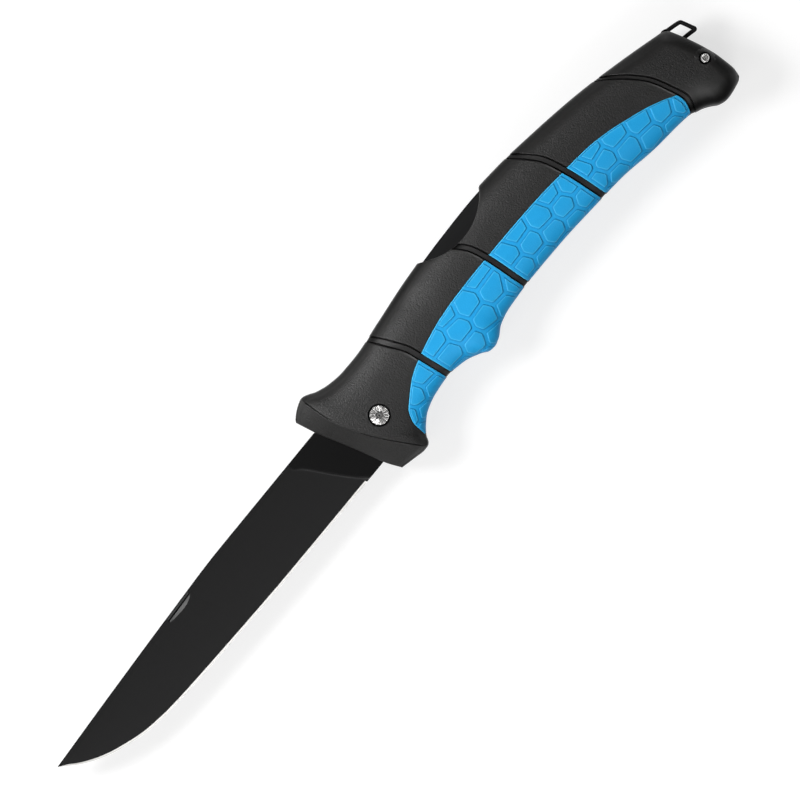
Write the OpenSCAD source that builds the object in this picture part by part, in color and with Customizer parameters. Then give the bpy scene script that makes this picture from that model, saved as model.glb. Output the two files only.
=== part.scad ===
// Folding fishing knife: a back-locking blade between two domed scales with
// inlaid grip pads. The blade is modelled open, and the knife lies on its side.
// X runs from the blade's tip to the pommel, Y from the edge to the spine, and
// Z from one side of the handle to the other. Inside the file the pivot's axis
// is the origin, and seated() moves every piece to the part's own origin.

/* [Handle] */
// Length from the pivot's axis to the end of the pommel
grip_l = 140; // [130:1:150]
// Height of the guard's top above the pivot's axis
half_h = 20; // [18:0.5:22]
// Thickness over the grip pads
body_t = 21; // [18:0.5:24]
// Height of the scales' edge wall
rim_t = 1.2; // [0.8:0.1:2]
// Radius of the pommel's rounded end
pommel_r = 4; // [2:0.5:5]
// Width of the grooves across the handle
groove_w = 1.8; // [1.2:0.1:2.4]
// Depth of the grooves across the handle
groove_d = 1; // [0.6:0.1:1.1]
// Radius of the thumb scoop over the lock bar
scoop_r = 19.6; // [18:0.2:22]

/* [Grip pads] */
// Thickness of the pads under the black surface
pad_deep = 2.2; // [1.6:0.1:3]
// Height of the pads over the black surface
pad_proud = 0.3; // [0.2:0.05:0.6]
// Depth of the flat that the pads' crowns are cut to
land_drop = 0.15; // [0.1:0.05:0.2]
// Width of the first pad's front end
pad_tip_w = 1.2; // [0.8:0.1:2]

/* [Frame] */
// Thickness of each steel liner
liner_t = 1.2; // [0.8:0.1:1.6]
// Distance of the liners' edge inside the scales' edge
liner_in = 0.9; // [0.7:0.1:1.5]
// Distance of the back spacer inside the scales' edge
spacer_in = 0.9; // [0.7:0.1:1.5]
// Least height of the back spacer under the leaf spring's pin
spacer_foot = 0.5; // [0.4:0.1:1]
// Least height of the back spacer under the handle's back
spacer_web = 1.5; // [1:0.1:2]
// Radius of the pins that the scales and the spacer share
spacer_pin_r = 1; // [0.8:0.1:1.2]
// Depth of the pins' blind holes in the scales
pin_seat = 4; // [3:0.5:5]

/* [Blade] */
// Length from the pivot's axis to the blade's tip
blade_l = 135.2; // [120:0.2:136]
// Width of the blade from its back to its edge
blade_h = 20.5; // [19:0.1:21]
// Thickness of the blade at its back
blade_t = 2.4; // [2:0.1:2.8]
// Width of the sharpened bevel along the edge
edge_w = 0.9; // [0.5:0.1:1.5]
// Thickness of the blade behind the sharpened bevel
edge_t = 0.5; // [0.3:0.05:0.7]
// Thickness left at the cutting edge
cut_t = 0.08; // [0.05:0.01:0.12]
// Length of the nail nick
nick_l = 10; // [8:0.5:12]
// Depth of the nail nick
nick_d = 0.6; // [0.4:0.1:0.8]
// Angle from the open blade to the folded one
fold_angle = 177.4; // [177:0.1:178]

/* [Pivot] */
// Radius of the pivot barrel
barrel_r = 2.4; // [2:0.1:2.5]
// Radius of the pivot's heads
pivot_head_r = 2.9; // [2.8:0.1:3]
// Thickness of the pivot's heads
pivot_head_t = 1.6; // [1.2:0.1:2]
// Radius of the screw's shank in the barrel
shank_r = 1.25; // [1:0.05:1.5]
// Radius of the pivot washers
washer_r = 6.5; // [5.5:0.5:8]
// Thickness of the pivot washers
washer_t = 0.25; // [0.2:0.05:0.3]
// Depth of the star recess in the heads
star_d = 0.8; // [0.5:0.1:1]
// Radius of the star recess
star_r = 1.7; // [1.4:0.1:2]
// Distance of the heads below the scales' crown
head_sink = 0.45; // [0.3:0.05:0.8]

/* [Lock] */
// Radius of the tang's round part
base_r = 9.6; // [9:0.1:9.8]
// Radius of the tang's locking tooth
tooth_r = 11.6; // [11.2:0.1:11.8]
// Thickness of the lock bar
bar_t = 2.6; // [2.2:0.1:2.7]
// Distance of the bar's back below the scales' edge
bar_drop = 1; // [0.8:0.1:1.5]
// Least height of the lock bar under its pin
bar_web = 1.1; // [0.8:0.1:1.4]
// Radius of the lock bar's pin
bar_pin_r = 1.5; // [1.2:0.1:1.8]
// Length of the bar in front of the pivot
nose_l = 3.5; // [2:0.5:5]
// Thickness of the leaf spring
leaf_t = 1; // [0.8:0.1:1.2]
// Width of the leaf spring
leaf_w = 2.4; // [2:0.1:2.6]
// Radius of the leaf spring's pin
leaf_pin_r = 0.8; // [0.6:0.1:1]

/* [Rear end] */
// Radius of the rear rivet
rivet_r = 1.35; // [1.2:0.05:1.5]
// Radius of the dimple in the rivet's ends
dimple_r = 0.5; // [0.3:0.1:0.7]
// Reach of the lanyard loop behind the pommel's top corner
loop_l = 5.9; // [5:0.1:7]
// Height of the lanyard loop
loop_h = 6.4; // [6:0.1:7]
// Thickness of the lanyard loop
loop_t = 2.6; // [2:0.1:2.7]

/* [Clearances] */
// Play of a turning piece on its pin or barrel
run_gap = 0.05; // [0.02:0.01:0.08]
// Play of a fixed pin in its hole
pin_gap = 0.03; // [0.02:0.01:0.05]
// Space between the pads and their pockets
pad_gap = 0.06; // [0.04:0.01:0.1]
// Space around a sunk head
ring_gap = 0.4; // [0.3:0.05:0.5]
// Space between the lock bar and the tang
lock_gap = 0.2; // [0.15:0.01:0.25]
// Space between the folded edge and the back spacer
edge_gap = 1.2; // [1:0.1:2]
// Space between the lock bar's end and the back spacer
bar_gap = 0.9; // [0.7:0.1:1.2]
// Overrun of every cut
over = 1; // [0.5:0.5:2]

/* [Hidden] */

// Colours, as the photograph shows them
black_plastic = "#3d3d3b";
blue_rubber = "#2fa6e4";
coated_steel = "#262627";
bare_steel = "#b9b7b2";
dark_steel = "#1c1c1d";
bronze = "#9a7440";

// Outlines as shares of grip_l along X and of half_h along Y
spine_shares = [
    [-0.121, 0.83], [-0.114, 0.885], [-0.086, 0.99], [-0.074, 1.01],
    [-0.066, 0.995], [-0.043, 0.9], [-0.014, 0.83], [0.021, 0.793],
    [0.057, 0.79], [0.143, 0.85], [0.25, 0.93], [0.357, 0.97],
    [0.443, 0.98], [0.536, 0.945], [0.643, 0.85], [0.75, 0.725],
    [0.857, 0.55], [0.975, 0.32], [1, 0.27]
];
belly_shares = [
    [-0.064, -0.7], [-0.053, -0.72], [-0.018, -0.78], [0.004, -0.813],
    [0.014, -0.81], [0.022, -0.78], [0.028, -0.71], [0.045, -0.6],
    [0.071, -0.49], [0.107, -0.425], [0.15, -0.4], [0.193, -0.45],
    [0.229, -0.565], [0.244, -0.638], [0.257, -0.65], [0.274, -0.62],
    [0.3, -0.52], [0.336, -0.465], [0.414, -0.438], [0.5, -0.445],
    [0.607, -0.488], [0.686, -0.53], [0.771, -0.63], [0.868, -0.705],
    [0.884, -0.72], [0.9, -0.8], [0.914, -0.875], [0.926, -0.945],
    [0.945, -0.985], [0.982, -0.95], [0.993, -0.91], [0.998, -0.86],
    [1.001, -0.75]
];
pad_top_shares = [
    [0.029, -0.7], [0.0297, -0.6], [0.0307, -0.475], [0.036, -0.375],
    [0.046, -0.27], [0.06, -0.2], [0.086, -0.08], [0.107, 0],
    [0.138, 0.073], [0.179, 0.145], [0.229, 0.205], [0.286, 0.235],
    [0.357, 0.243], [0.464, 0.235], [0.536, 0.218], [0.621, 0.17],
    [0.679, 0.13], [0.736, 0.045], [0.786, -0.07], [0.821, -0.16],
    [0.857, -0.28], [0.886, -0.385], [0.936, -0.4], [1, -0.4]
];

// Lines across the handle: X as a share of grip_l at each row's share of half_h
row_shares = [-1, -0.75, -0.5, -0.25, 0, 0.25, 0.5, 0.75, 1];
nose_line_shares = [-0.039, -0.051, -0.066, -0.076, -0.086, -0.097, -0.108, -0.116, -0.123];
bevel_line_shares = [0.03, 0.009, -0.012, -0.032, -0.049, -0.06, -0.071, -0.074, -0.075];
groove_line_shares = [
    [0.158, 0.154, 0.149, 0.144, 0.139, 0.134, 0.12, 0.103, 0.079],
    [0.396, 0.392, 0.389, 0.385, 0.382, 0.378, 0.37, 0.347, 0.307],
    [0.634, 0.63, 0.626, 0.622, 0.618, 0.612, 0.603, 0.582, 0.554],
    [0.861, 0.871, 0.885, 0.881, 0.873, 0.855, 0.826, 0.787, 0.736]
];
rear_line_shares = [0.989, 1, 0.999, 0.994, 0.986, 0.976, 0.966, 0.955, 0.944];

// The blade's outlines as shares of blade_l from the pivot and of blade_h
back_shares = [[0, 0.546], [0.43, 0.546], [0.6, 0.505], [0.8, 0.44], [1, 0.366]];
edge_shares = [
    [0.11, -0.454], [0.37, -0.444], [0.59, -0.405], [0.74, -0.361],
    [0.815, -0.298], [0.888, -0.151], [0.925, -0.039], [0.962, 0.122],
    [1, 0.356]
];
// The plunge line's place on the pivot's level, and its lean against Y
plunge_share = 0.153;
plunge_lean_share = 0.562;
// Share of the blade's width above the grind, and of its thickness left at the tip
grind_share = 0.17;
tip_t_share = 0.5;
// The nail nick's centre along the blade and across it
nick_shares = [0.578, 0.436];
// The ricasso's lower corners as shares of blade_l and blade_h
ricasso_shares = [[0.071, -0.449], [0.1, -0.456]];

// Places on the handle as shares of grip_l and half_h
scoop_shares = [0.387, 0.67];
bar_pin_share = 0.229;
bar_end_share = 0.481;
tail_shares = [0.33, 0.58];
nub_shares = [0.371, 0.56];
// Height of the tail's end, which clears the leaf spring when the bar rocks
tail_end_share = 0.67;
spacer_pin_shares = [0.53, 0.7];
leaf_pin_shares = [0.571, 0.405];
leaf_end_share = 0.6;
rivet_shares = [0.9765, -0.365];

// The lanyard loop's outline and opening as shares of loop_l and loop_h
loop_shares = [
    [0, 0.98], [0.75, 0.8], [0.83, 0.69], [1, 0.03], [0.95, -0.1],
    [0.83, -0.09], [0.41, 0.03], [-0.1, 0.03]
];
eye_shares = [[0.05, 0.8], [0.59, 0.7], [0.8, 0.2], [0.17, 0.31]];
loop_root_share = 0.9757;
// Its tongue: the neck's and the head's heights, and how deep each reaches
neck_shares = [0.2, 0.7];
head_shares = [0.05, 0.82];
tongue_shares = [0.7, 1.15];

// Shape of the domed side, and the height that the nose's chamfer leaves
dome_power = 2.6;
nose_t_share = 0.4;
// How far a groove draws the outline in, and the scales' inner edge with it
groove_in = 0.5;
inner_in = 0.6;

// Counts of stations and of points across
n_low = 7;
n_high = 12;
n_cut = 10;
PLAIN = 0;
GROOVE = 1;
PAD = 2;

// Heights above the middle plane
liner_z = blade_t / 2 + washer_t;
inner_z = liner_z + liner_t;
half_t = body_t / 2;
crown_z = half_t - pad_proud + land_drop;
crown_t = crown_z - inner_z;
head_z = crown_z - head_sink;
seat_z = head_z - pivot_head_t;
pin_z = inner_z + pin_seat;

// Smooth curves through a table of [x, y] knots, with no overshoot
function cell(t, x, i = 0) = i >= len(t) - 2 || x < t[i + 1][0] ? i : cell(t, x, i + 1);
function rise(t, i) = (t[i + 1][1] - t[i][1]) / (t[i + 1][0] - t[i][0]);
function tangent(t, i) =
    let (a = rise(t, max(i - 1, 0)), b = rise(t, min(i, len(t) - 2)))
    a * b > 0 ? 2 * a * b / (a + b) : 0;
function curve(t, x) =
    let (
        c = min(max(x, t[0][0]), t[len(t) - 1][0]),
        i = cell(t, c),
        d = t[i + 1][0] - t[i][0],
        s = (c - t[i][0]) / d
    )
    t[i][1] * (1 + 2 * s) * pow(1 - s, 2) + t[i + 1][1] * s * s * (3 - 2 * s)
    + d * s * (1 - s) * (tangent(t, i) * (1 - s) - tangent(t, i + 1) * s);
function mix(a, b, f) = a + (b - a) * f;
function span(a, b, n, p = 1) = [for (k = [0:n]) mix(a, b, pow(k / n, p))];
function tail(list) = [for (k = [1:len(list) - 1]) list[k]];
function sized(table, w, h) = [for (p = table) [p[0] * w, p[1] * h]];

// The handle's outlines and cross lines in millimetres
spine = sized(spine_shares, grip_l, half_h);
belly = sized(belly_shares, grip_l, half_h);
pad_top = sized(pad_top_shares, grip_l, half_h);
function cross(shares, shift = 0) =
    [for (k = [0:len(shares) - 1]) [row_shares[k] * half_h, shares[k] * grip_l + shift]];
cross_lines = concat(
    [cross(nose_line_shares), cross(bevel_line_shares)],
    [for (g = groove_line_shares) each [cross(g), cross(g, groove_w)]],
    [cross(rear_line_shares)]
);
// Each line's own place, where it crosses the pivot's level
line_u = [for (l = cross_lines) curve(l, 0)];
nose_u = line_u[0];
bevel_u = line_u[1];
rear_u = line_u[len(line_u) - 1];
function groove_u(g) = [line_u[2 * g + 2], line_u[2 * g + 3]];

// X at height y on the cross line that passes the pivot's level at u
function line_at(u, i = 0) = i >= len(line_u) - 2 || u < line_u[i + 1] ? i : line_at(u, i + 1);
function place_x(u, y) =
    let (i = line_at(u), f = (u - line_u[i]) / (line_u[i + 1] - line_u[i]))
    mix(curve(cross_lines[i], y), curve(cross_lines[i + 1], y), f);
// Height at which the cross line at u meets an outline, by halving
function meet(u, outline, lo, hi, n = 16) =
    let (m = (lo + hi) / 2)
    n == 0 ? m
    : curve(outline, place_x(u, m)) > m ? meet(u, outline, m, hi, n - 1)
    : meet(u, outline, lo, m, n - 1);
spine_top = max([for (p = spine) p[1]]);
belly_low = min([for (p = belly) p[1]]);
function spine_y(u) = meet(u, spine, 0, spine_top + over);
function belly_y(u) = meet(u, belly, belly_low - over, 0);
pad_start_share = 0.165;
pad_u = mix(line_u[1], line_u[2], pad_start_share);
function split_y(u) = u <= pad_u ? belly_y(u) : max(belly_y(u), meet(u, pad_top, belly_y(u), spine_top));

// Height of a domed section at share t across it, over an inner face
function dome(t, high, rim) =
    rim + (high - rim) * pow(max(0, 1 - pow(abs(t), dome_power)), 1 / dome_power);
// The nose's chamfer and the pommel's rounding
function chamfer(u) = u >= bevel_u ? 1 : mix(nose_t_share, 1, (u - nose_u) / (bevel_u - nose_u));
function rounding(u) =
    let (d = min(pommel_r, rear_u - u))
    pommel_r - sqrt(max(0, pommel_r * pommel_r - pow(pommel_r - d, 2)));
function side_z(u, t) =
    let (z = dome(t, crown_t, rim_t))
    inner_z + max(rim_t, rim_t + (z - rim_t) * chamfer(u) - rounding(u));

// Depth of a pad's pocket, which grows from nothing at the first pad's tip
function pocket(u, width) = pad_deep * min(1, width / (2 * pad_deep));
// Share across a section between lo and hi, and angles that bunch at its edges
function across(y, lo, hi) = (2 * y - lo - hi) / (hi - lo);
function angles(a, b, n) = [for (k = [0:n]) mix(a, b, k / n)];
function point(u, y, z) = [place_x(u, y), y, z];
function at_t(t, lo, hi) = mix(lo, hi, (t + 1) / 2);

// A point of the black surface at height y, sunk by a depth
function skin(u, y, yb, yt, sink) = point(u, y, side_z(u, across(y, yb, yt)) - sink);

// One section of a scale: the outer points, then the inner ones back
function scale_ring(u, mode) =
    let (
        yb = belly_y(u),
        yt = spine_y(u),
        ys = split_y(u),
        deep = u > pad_u ? pocket(u, ys - yb) : 0,
        inset = mode == GROOVE ? groove_in : 0,
        sink = mode == GROOVE ? groove_d : 0,
        lo = yb + inset,
        hi = yt - inset,
        floor_lo = yb + deep,
        floor_hi = yt - deep,
        ts = min(max(across(max(ys, lo), lo, hi), -1), 1),
        tf = min(max(across(max(ys, floor_lo), floor_lo, floor_hi), -1), 1),
        low = mode == PAD
            ? [for (a = angles(-90, asin(tf), n_low))
                point(u, at_t(sin(a), floor_lo, floor_hi), inner_z + dome(sin(a), crown_t - deep, 0))]
            : [for (a = angles(-90, asin(ts), n_low)) skin(u, at_t(sin(a), lo, hi), yb, yt, sink)],
        step = [skin(u, max(ys, lo), yb, yt, mode == PAD ? groove_d * deep / pad_deep : sink)],
        high = [for (a = angles(asin(ts), 90, n_high)) skin(u, at_t(sin(a), lo, hi), yb, yt, sink)],
        n = n_low + n_high + 3,
        in_lo = yb + max(inner_in, deep),
        inner = [for (k = [0:n - 2]) point(u, mix(yt - inner_in, in_lo, k / (n - 2)), inner_z)],
        last = point(u, yb + (mode == PAD ? max(inner_in, deep) : inner_in), inner_z)
    )
    concat(low, step, high, inner, [last]);

// One section of a pad: its outer points, then its inner ones back
function pad_ring(u) =
    let (
        yb = belly_y(u),
        yt = spine_y(u),
        ys = split_y(u) - pad_gap,
        deep = pocket(u, split_y(u) - yb) - pad_gap,
        ts = min(across(ys, yb, yt), 1),
        tf = max(across(ys, yb + deep, yt - deep), -1),
        outer = [for (a = angles(-90, asin(ts), n_low))
            point(u, at_t(sin(a), yb, yt), min(side_z(u, sin(a)) + pad_proud, half_t))],
        inner = [for (a = angles(asin(tf), -90, n_low))
            point(u, at_t(sin(a), yb + deep, yt - deep),
                inner_z + max(pad_gap, dome(sin(a), crown_t - deep, 0)))]
    )
    concat([point(u, yb, inner_z + pad_gap)], outer, inner,
        [point(u, yb + deep, inner_z + pad_gap)]);

// A closed skin over rings of equal count, each an outer row and its inner row
tiny = 0.00001;
function sound(p, f) =
    norm(p[f[0]] - p[f[1]]) > tiny && norm(p[f[1]] - p[f[2]]) > tiny
    && norm(p[f[2]] - p[f[0]]) > tiny;
function quad(a, b, c, d) = [[a, b, c], [a, c, d]];
module loft(rings) {
    n = len(rings[0]);
    last = (len(rings) - 1) * n;
    points = [for (r = rings) each r];
    sides = [for (i = [0:len(rings) - 2]) for (k = [0:n - 1])
        let (m = (k + 1) % n)
        each quad(i * n + k, i * n + m, i * n + n + m, i * n + n + k)];
    caps = [for (k = [0:n / 2 - 2])
        each concat(
            quad(n - 1 - k, n - 2 - k, k + 1, k),
            quad(last + k, last + k + 1, last + n - 2 - k, last + n - 1 - k))];
    polyhedron(points, [for (f = concat(sides, caps)) if (sound(points, f)) f]);
}

// Stations along the handle
lead_in = span(bevel_u, pad_u, 4);
pad_spans = [
    span(pad_u, groove_u(0)[0], 11, 1.4),
    span(groove_u(0)[1], groove_u(1)[0], 13),
    span(groove_u(1)[1], groove_u(2)[0], 9),
    span(groove_u(2)[1], groove_u(3)[0], 10)
];
pommel_span = [for (k = [0:9]) mix(groove_u(3)[1], rear_u, sin(90 * k / 9))];
// The first pad starts where it is pad_tip_w wide
function tip_u(k = 1) =
    let (u = pad_spans[0][k])
    split_y(u) - belly_y(u) >= pad_tip_w ? k : tip_u(k + 1);

module scale_blank() {
    pads = [for (g = [0:3]) each concat(
        [for (u = g == 0 ? tail(pad_spans[0]) : pad_spans[g]) scale_ring(u, PAD)],
        [for (u = groove_u(g)) scale_ring(u, GROOVE)])];
    loft(concat(
        [scale_ring(nose_u, PLAIN)],
        [for (u = lead_in) scale_ring(u, PLAIN)],
        pads,
        [for (u = pommel_span) scale_ring(u, PLAIN)]));
}

// Where the pins and the rivet stand
function on_grip(share) = [share[0] * grip_l, share[1] * half_h];
bar_pin = [bar_pin_share * grip_l, base_r + lock_gap + bar_web + bar_pin_r];
spacer_pin_at = on_grip(spacer_pin_shares);
leaf_pin_at = on_grip(leaf_pin_shares);
rivet_at = on_grip(rivet_shares);

// A hole or a pin from one height to another
module rod(at, r, z0, z1) {
    translate([at[0], at[1], z0]) cylinder(r = r, h = z1 - z0, $fn = 64);
}

// The thumb scoop in the handle's back
module scoop(grow) {
    low = on_grip(scoop_shares);
    rod([low[0], low[1] + scoop_r], scoop_r + grow, liner_z - over, half_t + over);
}

module scale_side() {
    difference() {
        scale_blank();
        scoop(0);
        rod([0, 0], barrel_r + pin_gap, inner_z - over, seat_z + over);
        rod([0, 0], pivot_head_r + ring_gap, seat_z, half_t + over);
        rod(rivet_at, rivet_r + pin_gap, inner_z - over, half_t + over);
        rod(rivet_at, rivet_r + ring_gap, head_z - pivot_head_t, half_t + over);
        rod(bar_pin, bar_pin_r + pin_gap, inner_z - over, pin_z);
        rod(spacer_pin_at, spacer_pin_r + pin_gap, inner_z - over, pin_z);
        rod(leaf_pin_at, leaf_pin_r + pin_gap, inner_z - over, pin_z);
    }
}

module pad_side(g) {
    first = g == 0 ? tip_u() : 0;
    us = [for (k = [first:len(pad_spans[g]) - 1]) pad_spans[g][k]];
    n = len(us) - 1;
    loft([for (k = [0:n])
        pad_ring(k == 0 ? us[0] + pad_gap : k == n ? us[n] - pad_gap : us[k])]);
}

// The outline between two stations, drawn in from both edges
function edge_loop(inset, u0, u1, n) =
    let (us = span(u0, u1, n))
    concat(
        [for (u = us) let (y = spine_y(u) - inset) [place_x(u, y), y]],
        [for (k = [n:-1:0]) let (y = belly_y(us[k]) + inset) [place_x(us[k], y), y]]);

module liner_side() {
    difference() {
        translate([0, 0, liner_z]) linear_extrude(liner_t)
            polygon(edge_loop(liner_in, nose_u + liner_in, rear_u - liner_in, 60));
        scoop(ring_gap);
        rod([0, 0], barrel_r + pin_gap, liner_z - over, inner_z + over);
        rod(rivet_at, rivet_r + pin_gap, liner_z - over, inner_z + over);
        rod(bar_pin, bar_pin_r + pin_gap, liner_z - over, inner_z + over);
        rod(spacer_pin_at, spacer_pin_r + pin_gap, liner_z - over, inner_z + over);
        rod(leaf_pin_at, leaf_pin_r + pin_gap, liner_z - over, inner_z + over);
    }
}

// The blade's edge and back at a distance in front of the pivot
blade_back = sized(back_shares, blade_l, blade_h);
blade_edge = sized(edge_shares, blade_l, blade_h);
function polar(r, a) = [r * cos(a), r * sin(a)];
function arc(r, a0, a1, n) = [for (k = [0:n]) polar(r, mix(a0, a1, k / n))];
function folded(p) = [
    p[0] * cos(fold_angle) - p[1] * sin(fold_angle),
    p[0] * sin(fold_angle) + p[1] * cos(fold_angle)
];

// The lock: the hook's centre lies where its lift points at the pivot
hook_r = base_r + lock_gap;
hook_a = atan2(bar_pin[1], bar_pin[0]) + acos(hook_r / norm(bar_pin));
hook_span = 8.5;
tooth_span = 6;
notch_play = 0.6;
base_end = -128;
shoulder_a = hook_a + hook_span / 2 + notch_play;
tooth_a = hook_a - hook_span / 2 - notch_play;
tang_top = blade_back[0][1];

plunge_x = plunge_share * blade_l;
function plunge(y, shift) = -(plunge_x + shift) - plunge_lean_share * y;

module tang() {
    corner = [tang_top / tan(shoulder_a), tang_top];
    low = sized(ricasso_shares, -blade_l, blade_h);
    linear_extrude(blade_t, center = true)
        polygon(concat(
            [[plunge(tang_top, -over), tang_top], corner],
            arc(base_r, shoulder_a, tooth_a, 2),
            arc(tooth_r, tooth_a, tooth_a - tooth_span, 2),
            arc(base_r, tooth_a - tooth_span, base_end, 48),
            [low[0], [plunge(low[1][1], -over), low[1][1]]]));
}

// One section of the blade, a share along it; the grind starts at the plunge
function blade_ring(x, lean, ground) =
    let (
        yb = curve(blade_back, x),
        ye = curve(blade_edge, x),
        wide = yb - ye,
        thick = blade_t * (1 - (1 - tip_t_share) * pow(max(0, x / blade_l - plunge_share), 2)) / 2,
        yg = yb - grind_share * wide,
        yn = ye + min(edge_w, wide / 4),
        behind = ground ? min(edge_t / 2, thick / 2) : thick,
        cut = ground ? cut_t / 2 : thick
    )
    [for (p = [[yb, thick], [yg, thick], [yn, behind], [ye, cut],
        [ye, -cut], [yn, -behind], [yg, -thick], [yb, -thick]])
        [-x - lean * p[0], p[0], p[1]]];

module blade_body() {
    n = 26;
    stations = span(plunge_x + 2 * over, blade_l - cut_t, n, 0.85);
    loft(concat(
        [blade_ring(plunge_x - 3 * over, plunge_lean_share, false)],
        [blade_ring(plunge_x, plunge_lean_share, false)],
        [for (k = [0:n])
            blade_ring(stations[k], plunge_lean_share * pow(1 - k / n, 3), true)]));
}

module nick() {
    r = (nick_l * nick_l / 4 + nick_d * nick_d) / (2 * nick_d);
    at = [-nick_shares[0] * blade_l, nick_shares[1] * blade_h, blade_t / 2 + r - nick_d];
    translate(at) rotate([nick_tilt, 0, 0]) rotate([-90, 0, 0])
        cylinder(r1 = r, r2 = r - nick_h, h = nick_h, $fn = 96);
}
nick_h = 1.3;
nick_tilt = 0;

module seated() {
    mid_x = (loop_root_share * grip_l + loop_l - blade_l) / 2;
    mid_y = (spine_top + belly_low) / 2;
    translate([-mid_x, -mid_y, half_t]) children();
}

module blade() {
    color(coated_steel) seated() difference() {
        union() {
            tang();
            blade_body();
        }
        rod([0, 0], barrel_r + run_gap, -blade_t, blade_t);
        nick();
    }
}

module lock_bar() {
    end_x = bar_end_share * grip_l;
    tail_at = on_grip(tail_shares);
    nub_at = on_grip(nub_shares);
    nose_y = tooth_r + 2 * lock_gap;
    front_a = hook_a + hook_span / 2;
    rear_a = hook_a - hook_span / 2;
    pocket_x = polar(tooth_r, tooth_a - tooth_span)[0] + 3 * lock_gap;
    under = concat(
        [[-nose_l, nose_y], [nose_y / tan(front_a), nose_y]],
        arc(hook_r, front_a, rear_a, 2),
        [[nose_y / tan(rear_a), nose_y], [pocket_x, nose_y], [pocket_x, hook_r]],
        [[tail_at[0] - bar_pin_r, hook_r], tail_at],
        [for (a = [-150, -90, -30]) nub_at + [0, leaf_t] + polar(leaf_t, a)],
        [[end_x, tail_end_share * half_h]]);
    back = [for (x = span(end_x, -nose_l, 20)) [x, curve(spine, x) - bar_drop]];
    color(dark_steel) seated() difference() {
        linear_extrude(bar_t, center = true) polygon(concat(under, back));
        rod(bar_pin, bar_pin_r + run_gap, -bar_t, bar_t);
    }
}

// The leaf's centre line runs from under the bar's nub to the spacer's slot
nub = on_grip(nub_shares);
leaf_tip = [nub[0], nub[1] - pin_gap - leaf_t / 2];
leaf_rise = leaf_t / 2 + pin_gap + leaf_pin_r;
leaf_tilt = atan2(leaf_pin_at[1] + leaf_rise - leaf_tip[1], leaf_pin_at[0] - leaf_tip[0]);
module leaf(grow, width) {
    long = leaf_end_share * grip_l - leaf_tip[0];
    translate(leaf_tip) rotate(leaf_tilt)
        translate([-leaf_t - grow, -leaf_t / 2 - grow, -width / 2])
            cube([long + leaf_t + 2 * grow, leaf_t + 2 * grow, width]);
}

module lock_spring() {
    color(bare_steel) seated() leaf(0, leaf_w);
}

module lock_bar_pin() {
    color(bare_steel) seated() rod(bar_pin, bar_pin_r, -pin_z + pin_gap, pin_z - pin_gap);
}

module spring_pin() {
    color(bare_steel) seated() rod(leaf_pin_at, leaf_pin_r, -pin_z + pin_gap, pin_z - pin_gap);
}

module spacer_pin() {
    color(bare_steel) seated() rod(spacer_pin_at, spacer_pin_r, -pin_z + pin_gap, pin_z - pin_gap);
}

module star() {
    translate([0, 0, head_z - star_d]) linear_extrude(star_d + over)
        polygon([for (k = [0:9]) polar(k % 2 == 0 ? star_r : star_r / 2, 36 * k + 90)]);
}

module pivot_barrel() {
    color(bare_steel) seated() difference() {
        union() {
            rod([0, 0], pivot_head_r, -head_z, -seat_z);
            rod([0, 0], barrel_r, -seat_z - over, seat_z - pin_gap);
        }
        rod([0, 0], shank_r + pin_gap, -seat_z + pivot_head_t, seat_z + over);
        mirror([0, 0, 1]) star();
    }
}

module pivot_screw() {
    color(bare_steel) seated() difference() {
        union() {
            rod([0, 0], pivot_head_r, seat_z, head_z);
            rod([0, 0], shank_r, -seat_z + 2 * pivot_head_t, seat_z + pin_gap);
        }
        star();
    }
}

module washer_side() {
    color(bronze) seated() difference() {
        rod([0, 0], washer_r, blade_t / 2, liner_z);
        rod([0, 0], barrel_r + run_gap, 0, liner_z + over);
    }
}

module pivot_washer_top() {
    washer_side();
}

module pivot_washer_bottom() {
    flipped() washer_side();
}

// Turns a top piece into the bottom one, about the knife's middle plane
module flipped() {
    translate([0, 0, body_t]) mirror([0, 0, 1]) children();
}

module liner_top() {
    color(dark_steel) seated() liner_side();
}

module liner_bottom() {
    flipped() liner_top();
}

// The lanyard loop's tongue, and the pocket in the spacer that holds it
loop_at = loop_root_share * grip_l;
function loop_point(p) = [loop_at + p[0] * loop_l, p[1] * loop_h];
module tongue(grow, reach) {
    neck = neck_shares * loop_h;
    head = head_shares * loop_h;
    deep = tongue_shares * loop_l;
    translate([loop_at - deep[0] - grow, neck[0] - grow, -loop_t / 2 - reach])
        cube([deep[0] + 2 * grow + reach + over, neck[1] - neck[0] + 2 * grow, loop_t + 2 * reach]);
    translate([loop_at - deep[1] - grow, head[0] - grow, -loop_t / 2 - reach])
        cube([deep[1] - deep[0] + 2 * grow, head[1] - head[0] + 2 * grow, loop_t + 2 * reach]);
}

module loop_plate(reach) {
    linear_extrude(loop_t + 2 * reach, center = true) polygon([for (p = loop_shares) loop_point(p)]);
}

module lanyard_loop() {
    color(dark_steel) seated() difference() {
        union() {
            loop_plate(0);
            tongue(0, 0);
        }
        linear_extrude(loop_t + over, center = true) polygon([for (p = eye_shares) loop_point(p)]);
    }
}

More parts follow.
